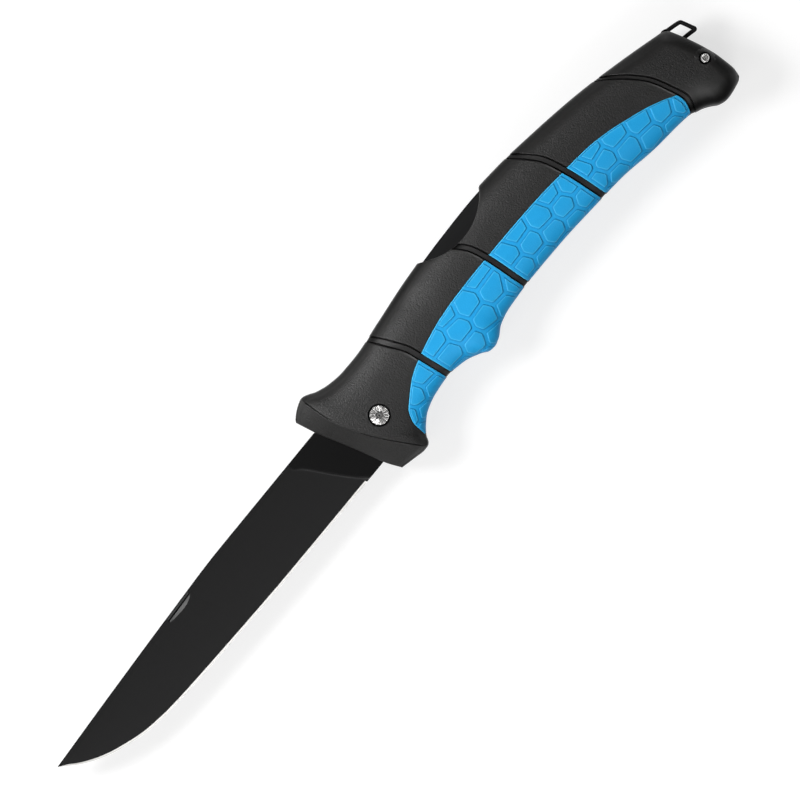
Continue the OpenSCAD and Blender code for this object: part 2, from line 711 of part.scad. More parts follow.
module back_spacer() {
    front_x = bar_end_share * grip_l + bar_gap;
    boss = rivet_r + 2 * spacer_pin_r;
    foot_y = leaf_pin_at[1] - leaf_pin_r - spacer_foot;
    rear = cross_lines[len(cross_lines) - 1];
    top = [for (x = span(front_x, curve(rear, spine_end_y) - spacer_in, 12))
        [x, curve(spine, x) - spacer_in]];
    back = [for (y = span(curve(spine, grip_l) - spacer_in, rivet_at[1] - boss, 6))
        [curve(rear, y) - spacer_in, y]];
    under = [for (x = span(rivet_at[0] - 3 * boss, front_x, 12))
        let (p = folded([-x, curve(blade_edge, x)]))
        [p[0], min(p[1] + edge_gap, foot_y, curve(spine, p[0]) - spacer_in - spacer_web)]];
    color(black_plastic) seated() difference() {
        linear_extrude(2 * liner_z, center = true)
            polygon(concat(top, back,
                [rivet_at - [boss / 2, boss], rivet_at - [boss, boss / 2],
                    rivet_at + [-boss, boss]],
                under));
        leaf(pin_gap, 3 * liner_z);
        tongue(pin_gap, over);
        translate([-pin_gap, -pin_gap, 0]) loop_plate(over);
        rod(spacer_pin_at, spacer_pin_r + pin_gap, -body_t, body_t);
        rod(leaf_pin_at, leaf_pin_r + pin_gap, -body_t, body_t);
        rod(rivet_at, rivet_r + pin_gap, -body_t, body_t);
    }
}
spine_end_y = spine[len(spine) - 2][1];

module rear_rivet() {
    color(bare_steel) seated() difference() {
        rod(rivet_at, rivet_r, -head_z, head_z);
        rod(rivet_at, dimple_r, head_z - dimple_r, head_z + over);
        rod(rivet_at, dimple_r, -head_z - over, -head_z + dimple_r);
    }
}

module scale_top() {
    color(black_plastic) seated() scale_side();
}

module scale_bottom() {
    flipped() scale_top();
}

module grip_pad_top(g) {
    color(blue_rubber) seated() pad_side(g);
}

module grip_pad_bottom(g) {
    flipped() grip_pad_top(g);
}

blade();
lock_bar();
lock_spring();
lock_bar_pin();
spring_pin();
pivot_barrel();
pivot_screw();
pivot_washer_top();
pivot_washer_bottom();
liner_top();
liner_bottom();
back_spacer();
spacer_pin();
rear_rivet();
lanyard_loop();
scale_top();
scale_bottom();
grip_pad_top(0);  // grip_pad_top_1
grip_pad_top(1);  // grip_pad_top_2
grip_pad_top(2);  // grip_pad_top_3
grip_pad_top(3);  // grip_pad_top_4
grip_pad_bottom(0);  // grip_pad_bottom_1
grip_pad_bottom(1);  // grip_pad_bottom_2
grip_pad_bottom(2);  // grip_pad_bottom_3
grip_pad_bottom(3);  // grip_pad_bottom_4
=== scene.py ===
# %% [markdown]
# # A folding fishing knife
#
# This lesson dresses the solid model of a folding knife: a slim dark blade, a
# curved black handle and blue grip pads with a cell pattern. The solids give
# the sizes and the motion. Here each outer surface is worked out again as a
# finely stepped grid, because a close look at a moulded grip or a ground blade
# needs smooth curves, rounded edges and fine relief.

import math

import bpy
import numpy as np
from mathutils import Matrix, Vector


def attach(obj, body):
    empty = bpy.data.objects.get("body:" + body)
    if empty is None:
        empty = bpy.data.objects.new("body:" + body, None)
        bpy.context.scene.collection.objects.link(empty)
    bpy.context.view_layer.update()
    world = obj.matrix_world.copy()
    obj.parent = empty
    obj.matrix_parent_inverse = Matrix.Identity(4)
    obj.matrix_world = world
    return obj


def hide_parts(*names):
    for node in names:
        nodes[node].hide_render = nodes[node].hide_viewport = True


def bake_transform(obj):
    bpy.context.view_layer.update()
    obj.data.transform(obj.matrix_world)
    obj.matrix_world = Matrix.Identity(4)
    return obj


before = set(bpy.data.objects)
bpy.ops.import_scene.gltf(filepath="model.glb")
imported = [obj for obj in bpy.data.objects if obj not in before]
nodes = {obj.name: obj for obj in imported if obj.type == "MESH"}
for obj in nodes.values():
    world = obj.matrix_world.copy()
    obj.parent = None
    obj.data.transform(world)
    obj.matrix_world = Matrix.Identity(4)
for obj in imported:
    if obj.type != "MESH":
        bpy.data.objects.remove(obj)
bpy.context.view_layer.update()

# %% [markdown]
# ## Smooth outlines
#
# A moulded handle has outlines that swing in and out without a single straight
# stretch. They are drawn as a few listed points with a smooth curve
# through them. A cubic whose slope is the harmonic mean of its neighbours'
# rises never bulges past its points, so a finger groove stays where it is put.

# %% Outlines of the handle
GRIP = 140.0  # pivot to pommel, in millimetres
HALF = 20.0  # the guard's height over the pivot
# each point is a share of GRIP from the pivot and a share of HALF over it
SPINE = [
    (-0.121, 0.83), (-0.114, 0.885), (-0.086, 0.99), (-0.074, 1.01), (-0.066, 0.995),
    (-0.043, 0.9), (-0.014, 0.83), (0.021, 0.793), (0.057, 0.79), (0.143, 0.85),
    (0.25, 0.93), (0.357, 0.97), (0.443, 0.98), (0.536, 0.945), (0.643, 0.85),
    (0.75, 0.725), (0.857, 0.55), (0.975, 0.32), (1, 0.27),
]
BELLY = [
    (-0.064, -0.7), (-0.053, -0.72), (-0.018, -0.78), (0.004, -0.813), (0.014, -0.81),
    (0.022, -0.78), (0.028, -0.71), (0.045, -0.6), (0.071, -0.49), (0.107, -0.425),
    (0.15, -0.4), (0.193, -0.45), (0.229, -0.565), (0.244, -0.638), (0.257, -0.65),
    (0.274, -0.62), (0.3, -0.52), (0.336, -0.465), (0.414, -0.438), (0.5, -0.445),
    (0.607, -0.488), (0.686, -0.53), (0.771, -0.63), (0.868, -0.705), (0.884, -0.755),
    (0.9, -0.805), (0.914, -0.875), (0.926, -0.945), (0.945, -0.985), (0.982, -0.95),
    (0.993, -0.91), (0.998, -0.86), (1.001, -0.75),
]
PAD_TOP = [
    (0.029, -0.7), (0.0297, -0.6), (0.0307, -0.475), (0.036, -0.375), (0.046, -0.27),
    (0.06, -0.2), (0.086, -0.08), (0.107, 0), (0.138, 0.073), (0.179, 0.145),
    (0.229, 0.205), (0.286, 0.235), (0.357, 0.243), (0.464, 0.235), (0.536, 0.218),
    (0.621, 0.17), (0.679, 0.13), (0.736, 0.045), (0.786, -0.07), (0.821, -0.16),
    (0.857, -0.28), (0.886, -0.385), (0.936, -0.4), (1, -0.4),
]


def curve(table, x):
    """Height of the curve through the table's points at x.

    Between two points it is a cubic. Its slope at a point is the harmonic mean
    of the rises on both sides, or zero where they have opposite signs.
    """
    t = np.asarray(table, float)
    x = np.clip(x, t[0, 0], t[-1, 0])
    rise = np.diff(t[:, 1]) / np.diff(t[:, 0])
    left, right = np.r_[rise[0], rise], np.r_[rise, rise[-1]]
    same = left * right > 0
    slope = np.where(same, 2 * left * right / np.where(same, left + right, 1), 0)
    i = np.clip(np.searchsorted(t[:, 0], x, side="right") - 1, 0, len(rise) - 1)
    step = t[i + 1, 0] - t[i, 0]
    s = (x - t[i, 0]) / step
    ends = t[i, 1] * (1 + 2 * s) * (1 - s) ** 2 + t[i + 1, 1] * s * s * (3 - 2 * s)
    return ends + step * s * (1 - s) * (slope[i] * (1 - s) - slope[i + 1] * s)


spine = np.array(SPINE) * (GRIP, HALF)
belly = np.array(BELLY) * (GRIP, HALF)
pad_top = np.array(PAD_TOP) * (GRIP, HALF)
print("points of the outlines", len(spine), len(belly), len(pad_top))

# %% [markdown]
# ## A net of lines across the handle
#
# The grooves cross the handle in slanted, bent lines, and they divide it into
# sections. A plain square grid would cut them into stair steps. Instead every
# column of the grid follows such a line: a column has a place u, where it
# crosses the pivot's level, and lines between two grooves are blended from
# them. A groove is then simply a stretch of columns that lie lower.

# %% The cross lines
ROWS = np.linspace(-1, 1, 9) * HALF
NOSE = (-0.039, -0.051, -0.066, -0.076, -0.086, -0.097, -0.108, -0.116, -0.123)
BEVEL = (0.03, 0.009, -0.012, -0.032, -0.049, -0.06, -0.071, -0.074, -0.075)
GROOVES = [
    (0.158, 0.154, 0.149, 0.144, 0.139, 0.134, 0.12, 0.103, 0.079),
    (0.396, 0.392, 0.389, 0.385, 0.382, 0.378, 0.37, 0.347, 0.307),
    (0.634, 0.63, 0.626, 0.622, 0.618, 0.612, 0.603, 0.582, 0.554),
    (0.861, 0.871, 0.885, 0.878, 0.868, 0.848, 0.8185, 0.779, 0.727),
]
REAR = (0.989, 1, 0.999, 0.994, 0.986, 0.976, 0.966, 0.955, 0.944)
GROOVE_WIDE = 1.8


def cross_line(shares, shift=0.0):
    """A cross line as points of height and place: each share of GRIP, plus a shift."""
    return np.column_stack([ROWS, np.array(shares) * GRIP + shift])


lines = [cross_line(NOSE), cross_line(BEVEL)]
for groove in GROOVES:
    lines += [cross_line(groove), cross_line(groove, GROOVE_WIDE)]
lines.append(cross_line(REAR))
line_u = np.array([curve(line, 0.0) for line in lines])
nose_u, bevel_u, rear_u = line_u[0], line_u[1], line_u[-1]
groove_u = line_u[2:-1].reshape(4, 2)


def place_x(u, y):
    """X where the cross line at u has the height y: a blend of the two lines beside it."""
    u, y = np.broadcast_arrays(np.asarray(u, float), np.asarray(y, float))
    all_x = np.array([curve(line, y) for line in lines])
    i = np.clip(np.searchsorted(line_u, u, side="right") - 1, 0, len(lines) - 2)
    part = (u - line_u[i]) / (line_u[i + 1] - line_u[i])
    before = np.take_along_axis(all_x, i[None], 0)[0]
    after = np.take_along_axis(all_x, i[None] + 1, 0)[0]
    return before + (after - before) * part


OUTSIDE = 1.1 * HALF  # a height beyond every outline
HALVINGS = 26


def meet(u, outline, low, high):
    """Height where the cross lines at u meet an outline, found by halving the span again and again."""
    low, high = np.full_like(u, low), np.broadcast_to(high, u.shape).astype(float)
    for _ in range(HALVINGS):
        middle = (low + high) / 2
        above = outline(place_x(u, middle)) > middle
        low, high = np.where(above, middle, low), np.where(above, high, middle)
    return (low + high) / 2


SCOOP_X, SCOOP_LOW, SCOOP_R = 0.387 * GRIP, 0.67 * HALF, 19.6


def top_edge(x):
    """The spine, cut by the round thumb scoop: the lower of the outline and the circle."""
    across = np.clip(np.abs(x - SCOOP_X), 0, SCOOP_R)
    circle = SCOOP_LOW + SCOOP_R - np.sqrt(SCOOP_R**2 - across**2)
    return np.minimum(curve(spine, x), np.where(across < SCOOP_R, circle, 2 * HALF))


def spine_y(u):
    """Height of the handle's back at u, before the scoop is cut."""
    return meet(u, lambda x: curve(spine, x), 0.0, OUTSIDE)


def belly_y(u):
    """Height of the handle's lower edge at u."""
    return meet(u, lambda x: curve(belly, x), -OUTSIDE, 0.0)


PAD_FROM = 0.165  # the pads start at this share of the way from the bevel to the first groove
pad_u = bevel_u + PAD_FROM * (line_u[2] - bevel_u)


def split_y(u):
    """Height where black plastic meets blue pad at u; before the pads it is the lower edge."""
    low = belly_y(u)
    found = np.maximum(low, meet(u, lambda x: curve(pad_top, x), -OUTSIDE, HALF))
    return np.where(u <= pad_u, low, found)


print("grooves at", groove_u[:, 0].round(1), "nose", round(float(nose_u), 1))

# %% [markdown]
# ## The rounded side
#
# Across the handle each side is a flat-topped arch: almost level in the middle
# and steep near the edges. A circle would be too pointed, so the arch uses a
# power a little over two. The nose is cut off by a slanted plane, and the
# pommel is rounded with a quarter circle.

# %% Height of the side
LINER_FACE = 2.65  # inner face of a scale, from the middle plane
HALF_THICK = 10.5
PAD_PROUD, LAND_DROP = 0.3, 0.15
CROWN = HALF_THICK - PAD_PROUD + LAND_DROP - LINER_FACE
RIM, POWER, NOSE_SHARE, POMMEL_R = 1.2, 2.6, 0.4, 4.0


def side_z(u, y, low, high):
    """Height of the black surface: a rim, plus an arch of the share across to the given power."""
    t = np.clip((2 * y - low - high) / (high - low), -1, 1)
    arch = (CROWN - RIM) * (1 - np.abs(t) ** POWER) ** (1 / POWER)
    bevel = NOSE_SHARE + (1 - NOSE_SHARE) * np.clip((u - nose_u) / (bevel_u - nose_u), 0, 1)
    near = np.clip(rear_u - u, 0, POMMEL_R)
    drop = POMMEL_R - np.sqrt(POMMEL_R**2 - (POMMEL_R - near) ** 2)
    return LINER_FACE + np.maximum(RIM, RIM + arch * bevel - drop)


def fillet(distance, radius):
    """How far a rounded edge lies below a sharp one, at a distance from it: a quarter circle."""
    d = np.clip(distance, 0, radius)
    return radius - np.sqrt(radius**2 - (radius - d) ** 2)


def ease(x):
    """A smooth step from 0 to 1: three times the square less twice the cube."""
    x = np.clip(x, 0, 1)
    return x * x * (3 - 2 * x)


def ridge(x, wide):
    """1 on a line where x is 0, falling smoothly on both sides of it: a bell curve."""
    return np.exp(-((x / wide) ** 2))


print("height over the pivot", round(float(side_z(0.0, 0.0, -HALF, HALF)), 2), "mm")

# %% [markdown]
# ## From grids to meshes
#
# Every moulded piece is a slab: an outer grid, an inner grid of the same size,
# and a wall round the edge. Where a grid runs to a point its quads lose a
# corner, so points that coincide are made one and such quads become triangles.
# The sign of the enclosed volume tells whether the faces point outwards.

# %% Mesh helpers
MM = 0.001
SHIFT = np.array([-3.649, -0.25, HALF_THICK])  # from the pivot to the frame's origin
SIDES = (("top", 1), ("bottom", -1))
SHARP = 35  # an edge is shaded as sharp from this angle on, in degrees


def grid_faces(rows, columns, first=0):
    """Quads of a grid whose points are numbered row by row."""
    i = first + np.arange(rows * columns).reshape(rows, columns)
    return np.stack([i[:-1, :-1], i[1:, :-1], i[1:, 1:], i[:-1, 1:]], -1).reshape(-1, 4)


def sheet(grid):
    """The points of one grid, and its faces."""
    return grid.reshape(-1, 3), grid_faces(*grid.shape[:2])


def slab(outer, inner, sign=1):
    """Closed surface of two grids of points: both grids, and four walls that join their edges.

    A sign of -1 gives its mirror on the other side of the middle plane.
    """
    rows, columns = outer.shape[:2]
    count = rows * columns
    i = np.arange(count).reshape(rows, columns)
    rim = np.concatenate([i[0, :-1], i[:-1, -1], i[-1, :0:-1], i[:0:-1, 0]])
    after = np.roll(rim, -1)
    wall = np.stack([rim, after, after + count, rim + count], -1)
    faces = [grid_faces(rows, columns)[:, ::-1], grid_faces(rows, columns, count), wall[:, ::-1]]
    points = np.concatenate([outer.reshape(-1, 3), inner.reshape(-1, 3)]) * (1, 1, sign)
    return points, np.concatenate(faces)[:, ::-1]


def full_turn(count):
    """Angles of a full turn in equal steps; the last one is 0 again, so that the ends meet."""
    angle = np.linspace(0, 2 * np.pi, count + 1)
    angle[-1] = 0
    return angle


def tidy(points, faces, marks=None):
    """Makes coinciding points one, turns collapsed quads into triangles and points faces outwards."""
    _, first, same = np.unique(np.round(points, 4), axis=0, return_index=True, return_inverse=True)
    points, quads = points[first], same.ravel()[faces]
    marks = np.zeros(len(quads), int) if marks is None else marks
    keep, rest = [], np.ones(len(quads), bool)
    for corner in range(4):
        nxt = (corner + 1) % 4
        hit = rest & (quads[:, corner] == quads[:, nxt])
        rest &= ~hit
        tri = np.delete(quads[hit], nxt, axis=1)
        good = (tri[:, 0] != tri[:, 1]) & (tri[:, 1] != tri[:, 2]) & (tri[:, 0] != tri[:, 2])
        keep.append((tri[good], marks[hit][good]))
    fold = (quads[:, 0] == quads[:, 2]) | (quads[:, 1] == quads[:, 3])
    rest &= ~fold
    keep.append((quads[rest], marks[rest]))
    volume = sum(
        np.einsum("ij,ij->", points[f[:, 0]], np.cross(points[f[:, k]], points[f[:, k + 1]]))
        for f, _ in keep
        for k in range(1, f.shape[1] - 1)
    )
    turn = slice(None, None, -1 if volume < 0 else 1)
    faces = [face for f, _ in keep for face in f[:, turn].tolist()]
    return points, faces, np.concatenate([m for _, m in keep]), first


def new_mesh(name, points, faces):
    """A mesh whose points are given in millimetres round the pivot."""
    mesh = bpy.data.meshes.new(name)
    mesh.from_pydata(((points + SHIFT) * MM).tolist(), [], faces)
    return mesh


def add_object(name, data):
    """Puts a mesh, a lamp or a camera into the scene."""
    made = bpy.data.objects.new(name, data)
    bpy.context.scene.collection.objects.link(made)
    return made


def smooth(mesh, sharp=SHARP):
    """Shades a mesh smoothly, apart from its sharp edges."""
    mesh.shade_smooth()
    mesh.set_sharp_from_angle(angle=math.radians(sharp))


def add_piece(
    name, points, faces, body, materials, stands_for=(), marks=None, sharp=SHARP, tones=None
):
    """Puts a surface given in millimetres round the pivot into the scene as a finished piece.

    marks picks a material for each face, and tones is a value for each point that
    its material may read as the attribute "tone". A piece without a body is not
    attached to one.
    """
    points, faces, marks, first = tidy(points, faces, marks)
    mesh = new_mesh(name, points, faces)
    mesh.validate()
    piece = add_object(name, mesh)
    for material in materials:
        mesh.materials.append(material)
    if len(mesh.polygons) == len(marks):
        mesh.polygons.foreach_set("material_index", marks.astype(np.int32))
    smooth(mesh, sharp)
    if tones is not None:
        tone = mesh.attributes.new("tone", "FLOAT", "POINT")
        tone.data.foreach_set("value", np.asarray(tones, np.float32)[first])
    if body:
        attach(piece, body)
    if stands_for:
        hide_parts(*stands_for)
    print(f"{name}: {len(points)} points, {len(faces)} faces")
    return piece


# %% [markdown]
# ## Shader sums
#
# A finish is easier to read as sums than as a long list of nodes. One small
# class stands for a number in the shader, and each sign in a sum adds the Math
# node that works it out. Any other node comes from one method.

# %% Numbers in a shader
class Number:
    """A number in a shader; sums with it add Math nodes."""

    def __init__(self, shader, socket):
        self.shader, self.socket = shader, socket

    def math(self, operation, *others, clamp=False):
        settings = {"operation": operation, "use_clamp": clamp}
        return self.shader.node("ShaderNodeMath", settings, *others)

    def __add__(self, other):
        return self.math("ADD", self, other)

    def __sub__(self, other):
        return self.math("SUBTRACT", self, other)

    def __rsub__(self, other):
        return self.math("SUBTRACT", other, self)

    def __mul__(self, other):
        return self.math("MULTIPLY", self, other)

    def __truediv__(self, other):
        return self.math("DIVIDE", self, other)

    __radd__, __rmul__ = __add__, __mul__

    def clamped(self):
        return self.math("ADD", self, 0.0, clamp=True)


# %% Nodes of a material or a world
class Nodes:
    """A tree of nodes: node() adds any node, with its settings and what feeds its sockets."""

    def __init__(self, owner):
        owner.use_nodes = True
        self.tree = owner.node_tree

    def feed(self, socket, value):
        if isinstance(value, Number):
            self.tree.links.new(value.socket, socket)
        elif hasattr(socket, "default_value"):
            socket.default_value = value

    def node(self, kind, settings=None, *inputs, out=0, **named):
        made = self.tree.nodes.new(kind)
        for key, value in (settings or {}).items():
            if key == "stops":
                ramp = made.color_ramp.elements
                while len(ramp) < len(value):
                    ramp.new(0.5)
                for stop, (place, colour) in zip(ramp, value):
                    stop.position, stop.color = place, colour
            else:
                setattr(made, key, value)
        for socket, value in zip(made.inputs, inputs):
            self.feed(socket, value)
        for key, value in named.items():
            shown = [i for i in made.inputs if i.name == key.replace("_", " ") and i.enabled]
            self.feed(shown[0], value)
        return Number(self, made.outputs[out])

    def background_share(self):
        """1 for rays that show the background: from the camera, off gloss and through glass."""
        kinds = ("Is Camera Ray", "Is Glossy Ray", "Is Transmission Ray")
        seen, glossy, through = (self.node("ShaderNodeLightPath", out=kind) for kind in kinds)
        for other in (glossy, through):
            seen = seen.math("MAXIMUM", seen, other)
        return seen


# %% Materials
class Finish(Nodes):
    """A material: surface() feeds its Principled shader."""

    def __init__(self, name, **fixed):
        self.material = bpy.data.materials.new(name)
        super().__init__(self.material)
        self.shader = next(n for n in self.tree.nodes if n.type == "BSDF_PRINCIPLED")
        for socket, value in fixed.items():
            self.shader.inputs[socket.replace("_", " ")].default_value = value
        self.where = self.node("ShaderNodeTexCoord", out="Object")

    def noise(self, size_mm, detail, stretch=(1, 1, 1)):
        """Even noise from 0 to 1 whose lumps measure about size_mm."""
        scale = tuple(s / (size_mm * MM) for s in stretch)
        spot = self.node("ShaderNodeMapping", None, Vector=self.where, Scale=scale)
        shape = {"Scale": 1.0, "Detail": detail, "Roughness": 0.5}
        return self.node("ShaderNodeTexNoise", None, Vector=spot, **shape)

    def tone(self, attribute):
        """The value that the points carry under this name."""
        return self.node("ShaderNodeAttribute", {"attribute_name": attribute}, out="Fac")

    def mix(self, dark, light, factor):
        """A colour between two, by the factor."""
        made = self.tree.nodes.new("ShaderNodeMix")
        made.data_type = "RGBA"
        self.feed(made.inputs[0], factor)
        for socket, value in zip(made.inputs[6:8], (dark, light)):
            self.feed(socket, value if isinstance(value, Number) else (*value, 1.0))
        return Number(self, made.outputs[2])

    def bump(self, height, depth_mm, under=None):
        """A surface turned by a height from 0 to 1 that stands for depth_mm."""
        links = {"Height": height, "Distance": depth_mm * MM}
        if under is not None:
            links["Normal"] = under
        return self.node("ShaderNodeBump", None, Strength=1.0, **links)

    def surface(self, **values):
        for key, value in values.items():
            self.feed(self.shader.inputs[key.replace("_", " ")], value)
        return self.material


# %% [markdown]
# ## Finishes
#
# The black scales are moulded with a fine spark-eroded grain: thousands of tiny
# pits that make a dull, slightly sparkling surface. The pads are a soft blue
# rubber, the blade has a dark coating that was ground off at the cutting edge,
# and the hardware is plain steel.

# %% Black plastic
GRAIN_MM, FINE_MM, DRIFT_MM = 0.45, 0.2, 14.0  # the lumps of two sizes of pits and of a slow drift
FINE_DEEP = 0.04
FLOOR_ROUGH, SCALE_HIGHLIGHT_GREY = 0.47, (0.22, 0.22, 0.22)  # of a groove's floor, and the grey of a painted highlight on an edge


def black_grain(name, tone, rough, deep, attribute=None):
    """Moulded black plastic: two sizes of pits, and a tone that wanders a little.

    Where the points carry a tone, it is 1 on the open surface and a half on a
    groove's smooth floor. Below a half it paints shade, down to 0 in the narrow
    corners that no light reaches: the colour turns black and a black metallic
    face dulls the sheen. Up to 2 it paints a highlight that makes an edge paler.
    """
    f = Finish(name, IOR=1.45, Specular_IOR_Level=0.52)
    grain, fine, drift = f.noise(GRAIN_MM, 2.0), f.noise(FINE_MM, 1.0), f.noise(DRIFT_MM, 2.0)
    colour = f.mix([c * 0.1 for c in tone], [c * 2 for c in tone], grain * 0.8 + drift * 0.2)
    rough = rough + (drift - 0.5) * 0.08 + (grain - 0.5) * 0.15
    if attribute is None:
        pits = f.bump(fine, FINE_DEEP, f.bump(grain, deep))
        return f.surface(Base_Color=colour, Roughness=rough, Normal=pits)
    tone = f.tone(attribute)
    # below a half the tone paints shade, and above 1 a pale highlight
    open_share, light_share = (tone * 2 - 1).clamped(), (tone * 2).clamped()
    return f.surface(
        Base_Color=f.mix(f.mix((0, 0, 0), colour, light_share), SCALE_HIGHLIGHT_GREY, (tone - 1).clamped()),
        Roughness=rough * open_share + FLOOR_ROUGH * (1 - open_share),
        Metallic=1 - light_share,
        Normal=f.bump(fine * open_share, FINE_DEEP, f.bump(grain * open_share, deep)),
    )


black_plastic = black_grain("black_grained_plastic", (0.0077, 0.0074, 0.0072), 0.48, 0.115, "tone")
black_spacer = black_grain("black_spacer_plastic", (0.007, 0.007, 0.007), 0.45, 0.14)
print("finishes", black_plastic.name, black_spacer.name)

# %% Blue rubber
# blues of the painted shade in the channels and of the painted highlights on the edges
SHADED_BLUE, HIGHLIGHT_BLUE = (0.006, 0.15, 0.38), (0.08, 0.52, 0.82)
SKIN_BLUES = (0.0065, 0.303, 0.65), (0.0125, 0.366, 0.745)


def blue_rubber_finish():
    """Soft rubber: a clear blue with faint clouding, dull and finely pitted.

    The tone is 0 for painted shade deep in a channel and 1 for a painted highlight
    that makes a cell's edge paler.
    """
    f = Finish("blue_soft_rubber", IOR=1.45, Specular_IOR_Level=0.28)
    cloud, pits = f.noise(9.0, 3.0), f.noise(0.4, 2.0)
    tone = f.tone("tone")
    low = f.mix(SHADED_BLUE, f.mix(*SKIN_BLUES, cloud * 0.7 + pits * 0.3), (tone * 2).clamped())
    colour = f.mix(low, HIGHLIGHT_BLUE, (tone * 2 - 1).clamped())
    return f.surface(
        Base_Color=colour, Roughness=0.5 + (pits - 0.5) * 0.15, Normal=f.bump(pits, 0.03)
    )


blue_rubber = blue_rubber_finish()
print("finish", blue_rubber.name)

# %% Steels
# greys of the coating's film, and the grey of the blade's painted highlights
FILM_GREYS, BLADE_HIGHLIGHT_GREY = ((0.0015, 0.0015, 0.0016), (0.073, 0.073, 0.074)), (0.16, 0.16, 0.16)
# greys of the painted reflections on a head's spokes
SPOKE_REFLECTION_GREYS = (0.03, 0.03, 0.03), (0.68, 0.67, 0.66)
LINE_MM, LINE_DEEP = 0.3, 0.004  # grinding lines, and how deep they are


def coated_steel_finish():
    """Dark coating on ground steel: faint grinding lines across the blade under a dull film.

    The tone is 0 on the tang's smooth sides and about a third on the ground face,
    whose lighter film is partly its own and partly painted light that grows towards
    the edge. It is over a half for painted highlights in the nail nick and along
    the plunge line.
    """
    f = Finish("dark_blade_coating", IOR=1.5, Specular_IOR_Level=0.12)
    streaks, cloud = f.noise(LINE_MM, 2.0, stretch=(1, 0.04, 1)), f.noise(18.0, 2.0)
    tone = f.tone("tone")
    # the film is lighter with the tone, and over about 0.4 the tone paints highlights
    film = f.mix(*FILM_GREYS, tone * 0.45)
    highlit = f.mix(film, BLADE_HIGHLIGHT_GREY, (tone * 1.6 - 0.6).clamped())
    colour = f.node(
        "ShaderNodeMix", {"data_type": "RGBA", "blend_type": "MULTIPLY"}, streaks * 0.2 + cloud * 0.3,
        out=2, A=highlit, B=(0.5, 0.5, 0.5, 1.0),
    )
    return f.surface(
        Base_Color=colour, Roughness=0.45 + (cloud - 0.5) * 0.1, Normal=f.bump(streaks, LINE_DEEP)
    )


def lined_steel(f, greys, rough, streaks):
    """Base colour, roughness and fine relief that all follow the same lines."""
    return f.surface(
        Base_Color=f.mix(*greys, streaks), Roughness=rough + (streaks - 0.5) * 0.12,
        Normal=f.bump(streaks, LINE_DEEP),
    )


def steel_finish(name, tone, rough, size_mm, stretch=(1, 1, 1), metal=1.0):
    """Bare steel with fine lines or a fine sheen; less than 1 of metal gives a dull ground face."""
    f = Finish(name, Metallic=metal)
    lines = f.noise(size_mm, 2.0, stretch=stretch)
    return lined_steel(f, ([c * 0.85 for c in tone], tone), rough, lines)


def dark_steel_finish(name, tone, rough):
    """Blackened steel: a thin dark film with a soft shine and faint lines."""
    f = Finish(name, IOR=1.5, Specular_IOR_Level=0.3)
    greys = [c * 0.7 for c in tone], [c * 1.3 for c in tone]
    return lined_steel(f, greys, rough, f.noise(LINE_MM, 2.0, stretch=(0.06, 1, 1)))


def painted_spoke_steel_finish():
    """Face of a turned head: bright steel whose tone, from 0 to 1, goes from dark to light spokes."""
    # the tone paints reflections of the radial cuts as dark and light spokes, and shade in the recess
    f = Finish("steel_painted_spokes", Metallic=1.0)
    tone = f.tone("tone")
    return f.surface(Base_Color=f.mix(*SPOKE_REFLECTION_GREYS, tone), Roughness=0.3 + tone * 0.1)


blade_coating = coated_steel_finish()
edge_steel = steel_finish("ground_edge_steel", (0.78, 0.77, 0.75), 0.5, 0.12, (1, 0.05, 1), 0.45)
bare_steel = steel_finish("bright_steel", (0.48, 0.475, 0.46), 0.3, 0.4)
bronze = steel_finish("bearing_bronze", (0.55, 0.36, 0.16), 0.35, 0.5)
steel_painted_spokes = painted_spoke_steel_finish()
dark_steel = dark_steel_finish("blackened_steel", (0.006, 0.006, 0.0065), 0.42)
steels = (blade_coating, edge_steel, bare_steel, bronze, steel_painted_spokes, dark_steel)
print("finishes", [steel.name for steel in steels])

# %% [markdown]
# ## Black scales
#
# A scale is one moulding with three kinds of surface: the open black side, the
# grooves across it, and a shallow pocket that holds the pads. All three are
# one height over the net, less a depth. The rows of points are bunched where
# black meets blue, and the columns at the groove walls, so that the edges stay
# crisp but still have their small rounding.

# %% Sizes of the grooves and edges
GROOVE_DEEP, POCKET_DEEP, POCKET_RUN = 0.8, 1.3, 3.0  # the pocket runs out where a pad is low
EDGE_R, SPLIT_R, NOSE_R = 0.35, 0.25, 0.3  # rounded edges at the grooves, the pads and the nose
WALL = 0.12  # width of a groove's wall, seen from above
GUTTER_DEEP, GUTTER_WIDE = 0.6, 0.32  # the groove's floor is lower along both walls
GROOVE_IN = 0.15  # how far a groove cuts into the outline
CREASE_DEEP, CREASE_WIDE = 0.38, 0.15  # the fine line where the guard's bevel starts
CREASE_FAINT, FAINT_AT, FAINT_LONG = 0.3, 5.5, 5.0  # it is only this share as deep round this height
LEAST_WALL, SCOOP_LEAST = 0.15, 0.3  # least thickness, and least depth of the scoop that gets an edge
# the black walls of a groove stand a little outside the pads' ends
WIDER = np.array([(-0.2, 0.25), (-0.1, 0.18), (-0.05, 0.28), (0.0, 0.0)])
black_u = groove_u + WIDER


def groove_share(u):
    """1 inside a groove and 0 outside, with walls WALL wide."""
    inside = [ease((u - a) / WALL) * ease((b - u) / WALL) for a, b in black_u]
    return np.max(inside, axis=0)


def gutter_share(u):
    """1 beside a groove's walls and 0 on the raised middle of its floor."""
    raised = black_u + (GUTTER_WIDE, -GUTTER_WIDE)
    middle = [ease((u - a) / WALL) * ease((b - u) / WALL) for a, b in raised]
    return groove_share(u) * (1 - np.max(middle, axis=0))


def groove_edge(u):
    """Distance from u to the nearest groove edge, on the side outside the grooves."""
    return np.min([np.where(u < (a + b) / 2, a - u, u - b) for a, b in black_u], axis=0)


print("grooves between", black_u.round(2).tolist())

# %% Columns and rows
COLUMN_STEP, LEAST_STEP = 0.6, 0.02
